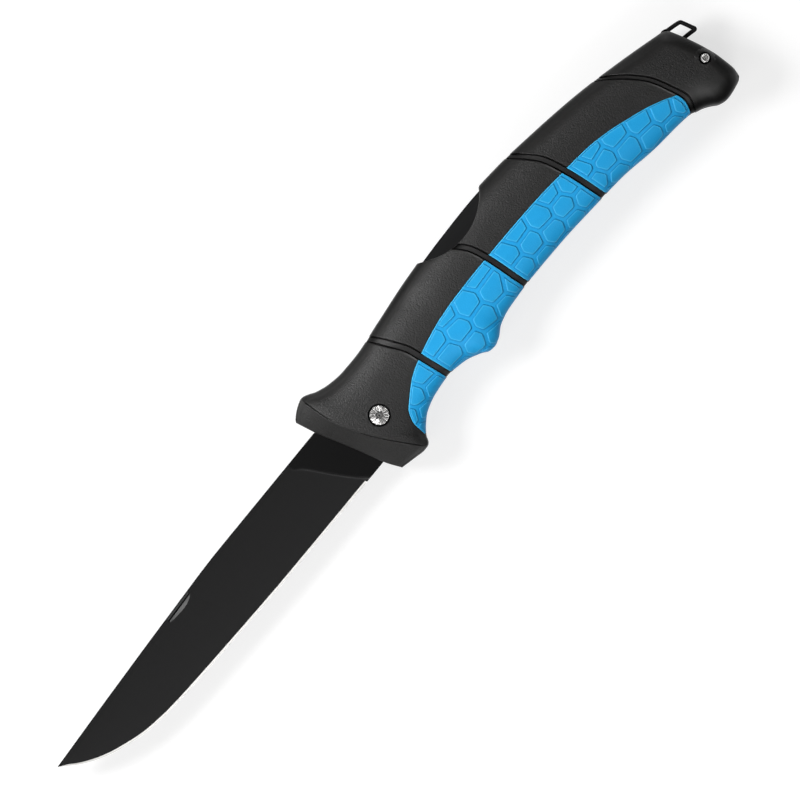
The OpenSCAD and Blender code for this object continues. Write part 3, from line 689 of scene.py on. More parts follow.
# steps from a groove's edge, outwards over its rounding and inwards over its wall and floor
EDGE_STEPS = np.array([
    -0.9, -0.5, -0.35, -0.25, -0.17, -0.1, -0.05, 0, 0.04, 0.08, 0.12, 0.26, 0.4, 0.44, 0.48, 0.52,
    0.7, 0.9,
])
NOSE_STEPS = np.array([0, 0.03, 0.1, 0.2, 0.3, 0.45])
POMMEL_STEPS = POMMEL_R * (1 - np.sin(np.linspace(0, np.pi / 2, 16)))
CREASE_STEPS, TIP_STEPS = np.linspace(-0.4, 0.4, 13), np.linspace(0, 1.5, 8)
PAD_ROWS, BACK_ROWS = 26, 48  # rows under the split, and from it to the back
SPLIT_STEPS = np.array([0, 0.02, 0.05, 0.1, 0.18, 0.27, 0.36, 0.45])
SPLIT_SHARE = 0.3  # these steps take no more than this share of the way to the back
BACK_STEPS = np.array([0.28, 0.2, 0.12, 0.06, 0.02, 0])


def columns():
    """Places of the columns: even steps, with extra ones at the grooves, the nose and the pommel."""
    u = np.concatenate([
        np.arange(nose_u, rear_u, COLUMN_STEP), nose_u + NOSE_STEPS, rear_u - POMMEL_STEPS,
        bevel_u + CREASE_STEPS, pad_u + TIP_STEPS,
        (black_u[:, :1] + EDGE_STEPS).ravel(), (black_u[:, 1:] - EDGE_STEPS).ravel(),
    ])
    u = np.unique(np.round(u, 3))
    return np.r_[nose_u, u[(u > nose_u + LEAST_STEP) & (u < rear_u - LEAST_STEP)], rear_u]


def scale_rows(low_edge, split, top):
    """Heights of a scale's rows in each column, and a mark of 1 for the rows in the pads' pocket.

    Both below the split and above it the heights follow a sine, so the rows
    are close together at the lower edge's steep side and at the back.
    """
    under = low_edge + (split - low_edge) * (1 + np.sin(np.radians(np.linspace(-90, 0, PAD_ROWS))))
    over = split + np.minimum(SPLIT_STEPS, (top - split) * SPLIT_SHARE)
    start = over[:, -1:]
    rest = start + (top - start) * np.sin(np.radians(np.linspace(0, 90, BACK_ROWS)))[1:]
    upper = np.sort(np.concatenate([rest, np.maximum(top - BACK_STEPS, start)], axis=1), axis=1)
    y = np.concatenate([under, split, over, upper], axis=1)
    return y, (np.arange(y.shape[1]) < PAD_ROWS).astype(float)


print("columns", len(columns()))

# %% [markdown]
# Light alone doesn't make the scales look moulded, so shade and highlights are
# painted into them. A groove's corners are painted dark, the sides are painted
# darker towards the parting line, and a painted highlight makes a section's
# edge paler. Each point carries a tone for this, which the finish reads.

# %% Tones of a scale
SHADE_WIDE, PAD_SHADE = 2.6, 0.6  # painted shade on a groove's floor grows over this width near the back, and changes over this one at the pads
GUTTER_SHADE, BETWEEN_PADS_SHADE = 0.7, 0.2  # how dark the painted shade is in the gutters, and between the pads
HIGHLIGHT_WIDE, HIGHLIGHT_PALE = 0.16, 0.8  # painted highlight: a pale line on a section's edge
HIGHLIGHT_LONG = (9.0, 9.0, 9.0, 14.0)  # it fades from the pads over these lengths
# painted shade along the outline: tone over the distance from it
RIM_SHADE_TONES = [(0, 0), (0.4, 0.02), (0.8, 0.12), (1.2, 0.24), (1.6, 0.37), (2.1, 0.5), (4.6, 1.0)]
RIM_NARROW, RIM_GROWS = 0.8, 0.5  # the painted dark rim is narrow at the guard and grows to the pommel
POMMEL_RIM, BEVEL_RIM = 1.7, 0.4  # and this many times as wide under the pommel and on the bevel


def scale_tone(u, y, low, high, split, top):
    """Tone of a scale's points: 1 on the open surface, and up to 1.8 on a painted highlight along a
    section's edge.

    It falls to a half on a groove's floor, and from there to 0 as painted shade
    in its gutters and close to the back. Along the outline it is no more than the
    rim's painted shade at the distance to the back, the lower edge or the pommel's end.
    """
    over_pads = ease((y - split) / PAD_SHADE)
    # painted shade in the gutters and near the back, and a fixed lighter one between the pads
    dark = np.maximum(GUTTER_SHADE * gutter_share(u), 1 - ease((top - y) / SHADE_WIDE))
    dark = BETWEEN_PADS_SHADE + (dark - BETWEEN_PADS_SHADE) * over_pads
    # painted highlight along each section's edge, fading upwards from the pads
    painted_highlight = np.zeros_like(y)
    for edge_u, long in zip(black_u[:, 0], HIGHLIGHT_LONG):
        line = ridge(u - edge_u + EDGE_R / 2, HIGHLIGHT_WIDE)
        painted_highlight = np.maximum(painted_highlight, line * (1 - ease((y - split) / long)))
    tone = 1 - 0.5 * groove_share(u) * (1 + dark) + HIGHLIGHT_PALE * painted_highlight * over_pads
    # painted shade along the outline: the dark rim
    from_belly = (y - low) / np.where(u > black_u[3, 0], POMMEL_RIM, 1)
    rim = np.minimum(np.minimum(high - y, from_belly), rear_u - u)
    rim = rim / (RIM_NARROW + RIM_GROWS * np.clip(u / GRIP, 0, 1))
    rim = rim / np.where(u < bevel_u, BEVEL_RIM, 1)
    return np.minimum(tone, curve(RIM_SHADE_TONES, rim) + HIGHLIGHT_PALE * (rim > RIM_SHADE_TONES[-1][0])).ravel()


print("the rim darkens over", RIM_SHADE_TONES[-1][0] * RIM_NARROW, "mm at the guard")

# %% Surface of a scale
def scale_surface():
    """Outer and inner grid of a scale, as points round the pivot, and the tones of both.

    The outer one is the rounded side less a depth: the pocket's or the
    groove's, plus what the rounded edges and the crease take away.
    """
    u = columns()[:, None]
    low, high = belly_y(u), spine_y(u)
    scooped = meet(u, top_edge, -OUTSIDE, high + 0.5)
    groove = groove_share(u)
    low_edge, top = low + GROOVE_IN * groove, np.minimum(scooped, high - GROOVE_IN * groove)
    split = np.clip(split_y(u), low_edge, top)
    y, pads = scale_rows(low_edge, split, top)
    in_pads = (u > pad_u) & (u < groove_u[3, 0] + WALL)
    pocket = np.clip((split - low_edge) / POCKET_RUN, 0, 1) * in_pads
    groove_depth = GROOVE_DEEP * groove + GUTTER_DEEP * gutter_share(u)
    depth = np.maximum(POCKET_DEEP * (pocket * (1 - groove)) * pads, groove_depth)
    away = groove_edge(u)
    depth = depth + fillet(away, EDGE_R) * (away > 0) * (1 - pads * pocket)
    depth = depth + fillet(u - nose_u, NOSE_R)
    faint = (1 - CREASE_FAINT) * ridge(y - FAINT_AT, FAINT_LONG)
    depth = depth + CREASE_DEEP * (1 - faint) * ridge(u - bevel_u, CREASE_WIDE)
    depth = depth + fillet(y - split, SPLIT_R) * (1 - pads) * pocket * (1 - groove)
    depth = depth + fillet(top - y, EDGE_R) * (1 - pads) * (scooped < high - SCOOP_LEAST)
    z = np.maximum(side_z(u, y, low, high) - depth, LINER_FACE + LEAST_WALL)
    outer = np.stack([place_x(u, y), y, z], -1)
    inner = outer.copy()
    inner[..., 2] = LINER_FACE
    tone = scale_tone(u, y, low, high, split, top)
    return outer, inner, np.r_[tone, tone]


outer, inner, scale_tones = scale_surface()
print("scale grid", outer.shape)


def cut(piece, cutter_points, cutter_faces):
    """Cuts a closed surface out of a piece with a Boolean modifier that is applied at once."""
    tool = add_object("cutter", new_mesh("cutter", *tidy(cutter_points, cutter_faces)[:2]))
    cutting = piece.modifiers.new("cut", "BOOLEAN")
    cutting.operation, cutting.solver, cutting.object = "DIFFERENCE", "EXACT", tool
    graph = bpy.context.evaluated_depsgraph_get()
    done = bpy.data.meshes.new_from_object(piece.evaluated_get(graph))
    piece.modifiers.clear()
    piece.data = done
    bpy.data.objects.remove(tool)
    smooth(done)


RIM_REACH = 1.0
ROUND_STEPS = 64


def open_rim(mesh, centre, radius):
    """Gives the points on a hole's rim the tone of the open surface, so that only the hole is dark."""
    # the hole's walls keep a tone of 0: painted shade in the hole
    places = np.empty(3 * len(mesh.vertices), np.float32)
    mesh.vertices.foreach_get("co", places)
    x, y = (places.reshape(-1, 3) / MM - SHIFT)[:, :2].T
    tone = np.empty(len(mesh.vertices), np.float32)
    mesh.attributes["tone"].data.foreach_get("value", tone)
    far = np.hypot(x - centre[0], y - centre[1])
    on_rim = (far > radius * 0.995) & (far < radius + RIM_REACH)
    mesh.attributes["tone"].data.foreach_set("value", np.where(on_rim, 1, tone).astype(np.float32))
    print("points round a hole", int(on_rim.sum()))


def lathe(profile, centre):
    """Surface of a profile of (radius, height) points turned once round a line along Z."""
    angle = full_turn(ROUND_STEPS)
    r, z = np.array(profile, float).T
    x = centre[0] + np.cos(angle)[:, None] * r
    y = centre[1] + np.sin(angle)[:, None] * r
    points = np.stack([x, y, np.broadcast_to(z, x.shape)], -1)
    return sheet(points)


# %% Scales in the scene
HEAD_SUNK, HEAD_LONG = 0.45, 2.4
HEAD_Z = LINER_FACE + CROWN - HEAD_SUNK  # height of the heads' faces
SEAT_Z = HEAD_Z - HEAD_LONG  # and of the bottom of their holes
HOLE_TOP = 12.0
PIVOT_RING, RIVET_RING = 3.3, 1.8
RIVET_AT = (0.9765 * GRIP, -0.365 * HALF)

for side, sign in SIDES:
    points, faces = slab(outer, inner, sign)
    shell = add_piece(
        f"scale_shell_{side}", points, faces, "handle", [black_plastic],
        [f"scale_{side}"], tones=scale_tones,
    )
    for centre, radius in (((0, 0), PIVOT_RING), (RIVET_AT, RIVET_RING)):
        hole = [(0, SEAT_Z), (radius, SEAT_Z), (radius, HOLE_TOP), (0, HOLE_TOP)]
        tool, tool_faces = lathe([(r, sign * z) for r, z in hole], centre)
        cut(shell, tool, tool_faces)
        open_rim(shell.data, centre, radius)
    print(shell.name, "after its holes:", len(shell.data.polygons))

# %% [markdown]
# ## Blue grip pads
#
# The pads carry a pattern of large six-sided cells, like a tortoise's shell,
# with flat channels between them and a plain strip at each groove. Cells
# of a moulded grip are placed by hand, so their centres are listed here. A
# point belongs to its nearest centre, and the border between two cells lies
# half way: its distance is the difference of the squared distances, over twice
# the distance between the centres. Distances are measured on the surface, so
# the cells keep their size where the pad curls round to the finger side, and
# further rows are added there at the same pitch.

# %% Cell centres
CELLS = [
    [(16.6, -2.2), (10.8, -4.6), (16.0, -6.9), (9.0, -9.4), (5.2, -7.7), (4.8, -12.2)],
    [
        (26.0, 1.3), (33.5, 4.0), (40.0, 0.9), (47.5, 4.7), (26.2, -4.9), (32.9, -2.1),
        (47.9, -2.4), (40.5, -5.8), (33.0, -8.4), (47.3, -8.2), (38.6, -11.2), (53.3, -6.2),
    ],
    [
        (58.4, 0.6), (64.4, 3.4), (72.3, 0.5), (79.0, 3.0), (84.6, 0.3), (64.9, -2.5),
        (79.2, -2.8), (58.6, -5.4), (71.8, -5.3), (64.8, -8.0), (78.6, -8.2), (84.8, -6.2),
    ],
    [
        (90.4, -0.5), (95.4, 1.5), (96.1, -3.8), (90.9, -6.1), (103.4, -1.2), (103.2, -6.9),
        (95.6, -9.3), (102.6, -11.9), (111.0, -4.2), (110.2, -9.9), (117.6, -7.5),
        (117.1, -12.5), (122.4, -10.6),
    ],
]
PITCH, CELL_CLEAR = 6.3, 0.75  # rows lie a pitch apart, and centres no nearer than this share of it
CHANNEL, CELL_WALL, CELL_HIGH = 0.55, 0.15, 0.32
END_R, END_NIP = 1.2, 0.7  # a pad's corners are rounded in plan at the finger side
BAND, TOP_BAND = 1.0, 0.45  # plain strips at a pad's ends and along its top edge
CORNER = 6.0  # sharpness of a cell's corners, per millimetre


def cell_wall(x, v, centres):
    """Distance from a cell's wall, positive on the cell: the distance to the border less CHANNEL.

    The least of the distances to the borders is taken softly, as the logarithm
    of a sum of powers, which rounds the corners of a cell.
    """
    far = (x[..., None] - centres[:, 0]) ** 2 + (v[..., None] - centres[:, 1]) ** 2
    order = np.argsort(far, axis=-1)[..., :4]
    own, own_far = centres[order[..., 0]], np.take_along_axis(far, order[..., :1], -1)
    others, others_far = centres[order[..., 1:]], np.take_along_axis(far, order[..., 1:], -1)
    apart = np.linalg.norm(others - own[..., None, :], axis=-1)
    border = (others_far - own_far) / (2 * apart)
    return -np.log(np.sum(np.exp(-border * CORNER), axis=-1)) / CORNER - CHANNEL


def cell_centres(g, x, y, v):
    """Centres of pad g's cells as x and the way v on its surface: the listed ones and more below.

    A centre is repeated one and two pitches lower, where no other one is near.
    """
    centres = []
    for cx, cy in CELLS[g]:
        nearest = np.argmin((x - cx) ** 2 + (y - cy) ** 2)
        centres.append((cx, v.ravel()[nearest] + (cy - y.ravel()[nearest])))
    lowest = v[:, 0].min() - PITCH / 2
    for cx, cv in [(cx, cv - k * PITCH) for cx, cv in centres for k in (1, 2)]:
        clear = min(math.hypot(cx - ox, cv - ov) for ox, ov in centres)
        if cv > lowest and clear > CELL_CLEAR * PITCH:
            centres.append((cx, cv))
    return np.array(centres)


print("cells placed by hand", [len(cells) for cells in CELLS])

# %% Net of a pad
PAD_GAP, PAD_STEP, ROUND_ROWS = 0.06, 0.14, 150
LEAST_HIGH, LEAST_ROW = 0.4, 0.01  # a column is left out where the pad is lower than this
END_STEPS = np.array([0, 0.02, 0.06, 0.12, 0.2, 0.3])
TOP_STEPS = np.array([0.3, 0.22, 0.15, 0.09, 0.04, 0.015, 0])


def pad_net(g):
    """Columns and rows of pad g, its height before the cells are cut, and where its top edge lies.

    The rows are equal turns of a circle through the lower edge and the back,
    so they are close together where the side is steep.
    """
    start, end = pad_u if g == 0 else groove_u[g - 1, 1], groove_u[g, 0]
    u = np.linspace(start + PAD_GAP, end - PAD_GAP, int((end - start) / PAD_STEP))
    u = np.unique(np.r_[u, u[0] + END_STEPS, u[-1] - END_STEPS])
    u = u[split_y(u) - PAD_GAP - belly_y(u) > LEAST_HIGH][:, None]
    low, high, split = belly_y(u), spine_y(u), split_y(u) - PAD_GAP
    nip = END_NIP * fillet(np.minimum(u - u[0], u[-1] - u), END_R) / END_R
    middle, half = (low + nip + high) / 2, (high - low - nip) / 2
    last = np.arcsin(np.clip((split - middle) / half, -1, 1))
    turn = -np.pi / 2 + (last + np.pi / 2) * np.linspace(0, 1, ROUND_ROWS)
    y = middle + half * np.sin(turn)
    close = np.maximum(split - TOP_STEPS, low + nip + LEAST_ROW)
    y = np.sort(np.concatenate([y[:, :-1], close], axis=1), axis=1)
    return u, y, np.minimum(side_z(u, y, low, high) + PAD_PROUD, HALF_THICK), split


print("rows of a pad", pad_net(0)[1].shape[1])

# %% Surface of a pad
LIP_AT, LIP_WIDE, LIP_PALE = 0.2, 0.16, 0.38  # painted highlight: a pale line on a cell's edge
FOOT_WIDE, FOOT_SHADE = 0.14, 0.4  # painted shade: a dark line at the foot of its wall
TOP_HIGHLIGHT, END_HIGHLIGHT, END_HIGHLIGHT_PALE = 0.45, 0.4, 0.7  # painted highlights: pale strips on a pad's top edge and ends
END_ROUND, TOP_ROUND, ROUND_MOST = 0.25, 0.2, 0.6
PAD_THIN, CELL_FLOOR, SKIN_THIN = 0.4, 0.1, 0.05  # least thicknesses


def pad_surface(g):
    """Outer and inner grid of pad g, and the tone of their points.

    The surface is the black one raised by PAD_PROUD, less CELL_HIGH where the
    distance to the nearest wall says that a point lies in a channel.
    """
    u, y, z, split = pad_net(g)
    x = place_x(u, y)
    along = np.hypot(np.diff(y, axis=1), np.diff(z, axis=1))
    v = np.concatenate([np.zeros_like(u), np.cumsum(along, axis=1)], axis=1)
    v = v - v[:, -1:] + y[:, -1:]
    ends, from_top = np.minimum(u - u[0], u[-1] - u), split - y
    from_wall = cell_wall(x, v, cell_centres(g, x, y, v))
    from_wall = np.minimum(from_wall, (ends if g else u[-1] - u) - BAND)
    from_wall = np.minimum(from_wall, from_top - TOP_BAND)
    relief = -CELL_HIGH * (1 - ease(from_wall / CELL_WALL))
    # painted highlight on a cell's edge, and painted shade at the foot of its wall
    lip = ridge(from_wall - LIP_AT, LIP_WIDE)
    foot = ridge(from_wall, FOOT_WIDE)
    # painted highlights along the pad's top edge and its ends
    edge_highlight = np.maximum(1 - ease(from_top / TOP_HIGHLIGHT), END_HIGHLIGHT_PALE * (1 - ease(ends / END_HIGHLIGHT)))
    tone = np.clip(0.5 + LIP_PALE * lip + 0.5 * edge_highlight - FOOT_SHADE * foot, 0, 1)
    round_off = np.minimum(fillet(ends, END_ROUND) + fillet(from_top, TOP_ROUND), ROUND_MOST)
    bottom = np.maximum(z - POCKET_DEEP - PAD_PROUD + PAD_GAP, LINER_FACE + PAD_GAP)
    bottom = np.minimum(bottom, z - PAD_THIN)
    skin = np.maximum(z + relief - round_off, bottom + CELL_FLOOR)
    outer = np.stack([x, y, skin], -1)
    inner = np.stack([x, y, np.minimum(bottom, skin - SKIN_THIN)], -1)
    inner[:, 0, 2] = LINER_FACE + PAD_GAP
    return outer, inner, np.r_[tone.ravel(), np.full(tone.size, 0.5)]


for g in range(4):
    pad_outer, pad_inner, pad_tones = pad_surface(g)
    for side, sign in SIDES:
        points, faces = slab(pad_outer, pad_inner, sign)
        add_piece(
            f"pad_skin_{side}_{g + 1}", points, faces, "handle", [blue_rubber],
            [f"grip_pad_{side}_{g + 1}"], sharp=50, tones=pad_tones,
        )

# %% [markdown]
# ## Blade
#
# A slim filleting blade is ground from flat bar. Each side thins in one flat
# grind from the rounded back towards the edge, and at the handle the grinding
# wheel leaves a curved plunge line. A narrow second bevel at the edge cuts
# through the dark coating and shows bright steel. All of it is one thickness
# over the blade's side view.

# %% Blade shape
BLADE_LONG, BLADE_HIGH, BLADE_THICK = 135.2, 20.5, 2.4
BACK = [(0, 0.546), (0.43, 0.546), (0.6, 0.505), (0.8, 0.44), (1, 0.366)]
EDGE = [
    (0.11, -0.454), (0.37, -0.444), (0.59, -0.405), (0.74, -0.361), (0.815, -0.298),
    (0.888, -0.151), (0.925, -0.039), (0.962, 0.122), (1, 0.356),
]
back = np.array(BACK) * (BLADE_LONG, BLADE_HIGH)
edge_line = np.array(EDGE) * (BLADE_LONG, BLADE_HIGH)
PLUNGE = [(-9.5, 15.6), (-8.5, 16.0), (-6.5, 17.0), (-0.5, 20.0), (7.2, 24.7), (9.0, 27.0)]
PLUNGE_WIDE = 0.9
BEVEL_WIDE, BEHIND, EDGE_THIN = 0.65, 0.25, 0.03  # the second bevel, and half thickness at its ends
BEVEL_FROM, HEEL_TO, HEEL_Y = 17.2, edge_line[0, 0] + 2, -9.3  # near the handle the edge is unground
UPPER_WIDE, BACK_R = 3.1, 0.12  # closely stepped rows under the back, and its rounding
TIP_SHARE, TAPER_FROM = 0.5, 0.15  # the bar starts to thin at this share of its length
NICK_FROM, NICK_TO, NICK_OFFSET, NICK_DEEP, NICK_WALL = 73.2, 83.2, 0.8, 0.5, 0.45
NICK_BOW = [(0, 0), (0.05, 0.6), (0.23, 1.3), (0.44, 1.5), (0.74, 1.2), (0.96, 0.8), (1, 0)]
NICK_LIP = 0.6  # the strip above the nick, which has a painted grey of its own
SMALL = 0.01  # keeps a divisor from zero
print("blade", BLADE_LONG, "mm from pivot to tip")

# %% Rows of the blade
SEAM_X, LEAN_TO = 9.0, 30.0  # the blade's first column leans as the guard does, the second is upright
LEAN_LONG = LEAN_TO - SEAM_X
BLADE_COLUMNS = np.unique(np.r_[
    np.linspace(SEAM_X, LEAN_TO, 90), np.linspace(LEAN_TO, BLADE_LONG, 240), 134.6, 135.0
])[:, None]
UPPER_STEPS = np.r_[
    0, 0.04, 0.08, 0.12, 0.3, 0.55, NICK_OFFSET - SMALL, NICK_OFFSET + SMALL,
    np.linspace(0.95, 2.5, 16), 2.7, UPPER_WIDE,
]
GRIND_STEPS, BEVEL_STEPS = np.linspace(0, 1, 40)[1:], np.array([SMALL, 0.5, 1])
GRIND_ROW = 3  # the grind starts at this row, where the back's rounding ends


def blade_rows(x):
    """Heights of the blade's rows at each x, and its back, its bevel's upper line and its edge.

    Near the tip, where the blade is low, the steps under the back shrink with
    it, and the bevel takes no more than a quarter of the height.
    """
    top, low = curve(back, x), curve(edge_line, x)
    low = np.where(x < HEEL_TO, np.minimum(low, HEEL_Y), low)
    tall = np.maximum(top - low, 2 * SMALL)
    upper = top - np.minimum(UPPER_STEPS, tall * UPPER_STEPS / (UPPER_WIDE * 3))
    shoulder = low + np.minimum(BEVEL_WIDE, tall / 4)
    grind = upper[:, -1:] + (shoulder - upper[:, -1:]) * GRIND_STEPS
    bevel = shoulder + (low - shoulder) * BEVEL_STEPS
    return np.concatenate([upper, grind, bevel], axis=1), top, shoulder, low


def nail_nick(x, under):
    """Share of the nick's full depth, and where its upper lip is, from the way under its top line.

    The nick is as high as its bow. Its wall is steep above and its floor rises
    in a straight line to the lower border.
    """
    bow = curve(NICK_BOW, np.clip((x - NICK_FROM) / (NICK_TO - NICK_FROM), 0, 1))
    floor = np.maximum(bow - NICK_WALL, NICK_WALL)
    share = np.clip(np.minimum(under / NICK_WALL, (bow - under) / floor), 0, 1) * (bow > SMALL)
    return share, (bow > SMALL) & (under > -NICK_LIP) & (under <= 0)


print("columns along the blade", len(BLADE_COLUMNS))

# %% Surface of the blade
GROUND_TONE, PLUNGE_HIGHLIGHT, PLUNGE_LINE = 0.35, 0.32, 0.35  # tone of the ground face, the plunge line's painted highlight, and its width
# painted light at the nail nick: a grey strip above it and a highlight on its floor, and a plain tone
# on the far side
LIP_TONE, NICK_HIGHLIGHT, PLAIN_TONE = 0.45, 0.72, 0.3
SEAM_IN = 0.8
seam_u = nose_u + SEAM_IN  # blade and tang meet under the guard's nose


def blade_surface():
    """Grids of the blade's two sides, the bare faces' marks and the points' tones.

    The thickness is full at the back's rounding, and from there falls in a
    straight line to the bevel. Before the plunge line it stays full.
    """
    x = BLADE_COLUMNS
    y, top, shoulder, low = blade_rows(x)
    full = BLADE_THICK / 2 * (1 - (1 - TIP_SHARE) * np.clip(x / BLADE_LONG - TAPER_FROM, 0, 1) ** 2)
    line = y[:, GRIND_ROW : GRIND_ROW + 1]
    down = np.clip((line - y) / np.maximum(line - shoulder, SMALL), 0, 1)
    behind = np.minimum(BEHIND, full)
    past = np.clip((shoulder - y) / np.maximum(shoulder - low, SMALL), 0, 1)
    ground = full + (behind - full) * down + (EDGE_THIN - behind) * past
    plunge = curve(PLUNGE, y)
    beyond = ease((x - plunge) / PLUNGE_WIDE)
    z = full + (ground - full) * beyond - fillet(top - y, BACK_R)
    under = top - y - NICK_OFFSET
    nick, lip = nail_nick(x, under)
    # a painted highlight along the plunge line; the ground face's tone is partly its own lighter film
    # and partly painted light that grows towards the edge
    plunge_highlight = ridge(x - plunge - PLUNGE_WIDE / 2, PLUNGE_LINE)
    tone = GROUND_TONE * beyond * (0.7 + 0.3 * down) + PLUNGE_HIGHLIGHT * plunge_highlight * ease(down * 4)
    # at the nick: the painted grey strip, painted shade on its steep wall and a painted highlight on
    # its floor
    tone = np.where(lip, LIP_TONE, tone)
    tone = np.where(nick > 0, np.where(under < NICK_WALL, 0.0, NICK_HIGHLIGHT), tone)
    far_tone = np.where(lip | (nick > 0), PLAIN_TONE, tone)
    guard = place_x(np.full(y.shape[1], seam_u), y[0])
    leaning = -x + ease((LEAN_TO - x) / LEAN_LONG) * (guard + SEAM_X)
    marks = np.zeros((len(x) - 1, y.shape[1] - 1), int)
    marks[:, -len(BEVEL_STEPS) :] = 1
    marks[x[:-1, 0] < BEVEL_FROM] = 0
    near, far = (np.stack([leaning, y, side], -1) for side in (z - NICK_DEEP * nick, -z))
    return near, far, marks, np.r_[tone.ravel(), far_tone.ravel()]


blade_top, blade_bottom, bare, blade_tones = blade_surface()
points, faces = slab(blade_top, blade_bottom)
walls = np.zeros(len(faces) - 2 * bare.size, int)
add_piece(
    "blade_body", points, faces, "blade", [blade_coating, edge_steel], ["blade"],
    marks=np.concatenate([bare.ravel(), bare.ravel(), walls]), sharp=25, tones=blade_tones,
)

# %% [markdown]
# Inside the handle the blade ends in its tang: a round part that turns on the
# pivot, with a tooth and a shoulder that the lock bar's hook drops between.
# Seen from the pivot every point of this outline is in plain view, so the tang
# is a grid of rays from the bore to the outline.

# %% Tang
TANG_R, TOOTH_R, BORE_R, HOOK_R = 9.6, 11.6, 2.45, 9.8
BAR_PIN = np.array([0.229 * GRIP, 12.4])
HOOK_HALF, TOOTH_TURN, HEEL_TURN = 4.85, 6.0, -128.0  # in degrees: half the hook, the tooth, the heel
RING_R, TANG_CHAMFER, TANG_DROP = 4.5, 0.15, 0.12


def tang_outline():
    """Outline of the tang round the pivot: arcs of the round part and the tooth, then the sides.

    The hook's direction follows from the triangle of pivot, hook and bar pin,
    whose angle at the pivot has the cosine HOOK_R over the pin's distance.
    """
    pin_turn, pin_far = math.atan2(BAR_PIN[1], BAR_PIN[0]), np.hypot(*BAR_PIN)
    hook = math.degrees(pin_turn + math.acos(HOOK_R / pin_far))
    shoulder, tooth, tooth_end = hook + HOOK_HALF, hook - HOOK_HALF, hook - HOOK_HALF - TOOTH_TURN
    parts = []
    for r, start, end, count in (
        (TANG_R, shoulder, tooth, 8), (TOOTH_R, tooth, tooth_end, 8), (TANG_R, tooth_end, HEEL_TURN, 80)
    ):
        a = np.radians(np.linspace(start, end, count))
        parts.append(np.column_stack([r * np.cos(a), r * np.sin(a)]))
    top_y, count = back[0, 1], 24
    y = np.linspace(HEEL_Y, top_y, count)
    seam = np.column_stack([place_x(np.full(count, seam_u), y), y])
    top_x = np.linspace(seam[-1, 0], top_y / math.tan(math.radians(shoulder)), 12)
    return np.concatenate([*parts, seam, np.column_stack([top_x, np.full_like(top_x, top_y)])])


def tang_surface():
    """Grid of the tang: rays from the bore to the outline, with the outline's edge broken."""
    rim = tang_outline()
    rim = np.concatenate([rim, rim[:1]])
    reach = np.linalg.norm(rim, axis=1)[:, None]
    rings = [np.full_like(reach, BORE_R), np.full_like(reach, RING_R), reach - TANG_CHAMFER, reach]
    r = np.concatenate(rings, axis=1)
    xy = (rim / reach)[:, None, :] * r[..., None]
    z = np.broadcast_to(BLADE_THICK / 2 - np.array([0, 0, 0, TANG_DROP]), r.shape)
    return np.concatenate([xy, z[..., None]], -1)


tang_top = tang_surface()
points, faces = slab(tang_top, tang_top * (1, 1, -1))
add_piece("blade_tang", points, faces, "blade", [blade_coating], sharp=25)

# %% [markdown]
# ## Screws and rivet
#
# The pivot's heads are turned steel with a six-lobed recess. Their faces are
# rays round the centre, so the recess is a second outline inside the rim, with
# a steep wall between two rings of points. Fine radial cuts catch the light.
# Light and dark spokes painted into the steel's colour stand for reflections of
# these cuts, and the recess is painted darker as shade. The rivet's ends at the
# pommel are made the same way, only smaller and paler.

# %% Heads
LOBES, LOBE_SHARE, RECESS_DEEP, RECESS_R = 6, 0.14, 0.7, 0.06
FACETS, FACET_SHARES = (29, 13), (0.6, 0.4)
FACE_STEPS, FACE_DROP = np.linspace(0, 1, 9), 0.1
RIM_WIDE, RIM_STEPS = 0.3, [(0.18, 0.16), (0.06, 0.28), (0, 0.45)]  # steps are (way in, way down)
SPOKE_SEED, RAYS = 5, 240
PIVOT_HEAD, RIVET_END = (2.9, 1.0, 0.16), (1.35, 0.62, 0.14)  # radius, recess, depth of the cuts
PIVOT_TONES, RIVET_TONES = (0.12, 0.35), (0.75, 0.8)  # of the darkest painted spoke, and of the recess's painted shade


def head_surface(radius, recess, cut_deep, tones):
    """Face of a turned head as rays: a lobed recess, a face with fine radial cuts and a bevelled rim.

    Its tone, a seeded random one for each pair of rays, paints reflections on the
    spokes; in the recess it is even and paints shade.
    """
    angle = full_turn(RAYS)
    lobe = recess * (1 + LOBE_SHARE * np.cos(LOBES * angle))
    hole = [lobe * share for share in (0, 0.5, 0.97, 1)]
    face = [lobe + RECESS_R + (radius - RIM_WIDE - lobe - RECESS_R) * f for f in FACE_STEPS]
    rim = [np.full_like(lobe, radius - way_in) for way_in, _ in RIM_STEPS]
    r = np.stack([*hole, *face, *rim], 1)
    rim_drop = [down for _, down in RIM_STEPS]
    drop = [*[RECESS_DEEP] * 3, RECESS_R, *(FACE_DROP * FACE_STEPS**2), *rim_drop]
    zigzag = [share * np.abs((n * angle / np.pi) % 2 - 1) for n, share in zip(FACETS, FACET_SHARES)]
    cuts = np.zeros_like(r)
    cuts[:, 5:13] = cut_deep * sum(zigzag)[:, None]  # all of the face but its first ring
    z = HEAD_Z - np.array(drop) - cuts
    darkest, recess_shade = tones
    spokes = np.repeat(np.random.default_rng(SPOKE_SEED).random(RAYS // 2), 2)
    tone = np.full(r.shape, recess_shade)
    tone[:, 4:] = (darkest + (1 - darkest) * np.r_[spokes, spokes[:1]])[:, None]
    return np.stack([r * np.cos(angle)[:, None], r * np.sin(angle)[:, None], z], -1), tone.ravel()


def add_head(name, centre, size, tones, sign, stands_for):
    """A head with its shank, from its face down to the seat, on the side that the sign tells."""
    face, tone = head_surface(*size, tones)
    face = face + (*centre, 0)
    under = face.copy()
    under[..., 2] = SEAT_Z
    points, faces = slab(face, under, sign)
    add_piece(
        name, points, faces, "handle", [steel_painted_spokes], stands_for,
        sharp=30, tones=np.r_[tone, tone],
    )


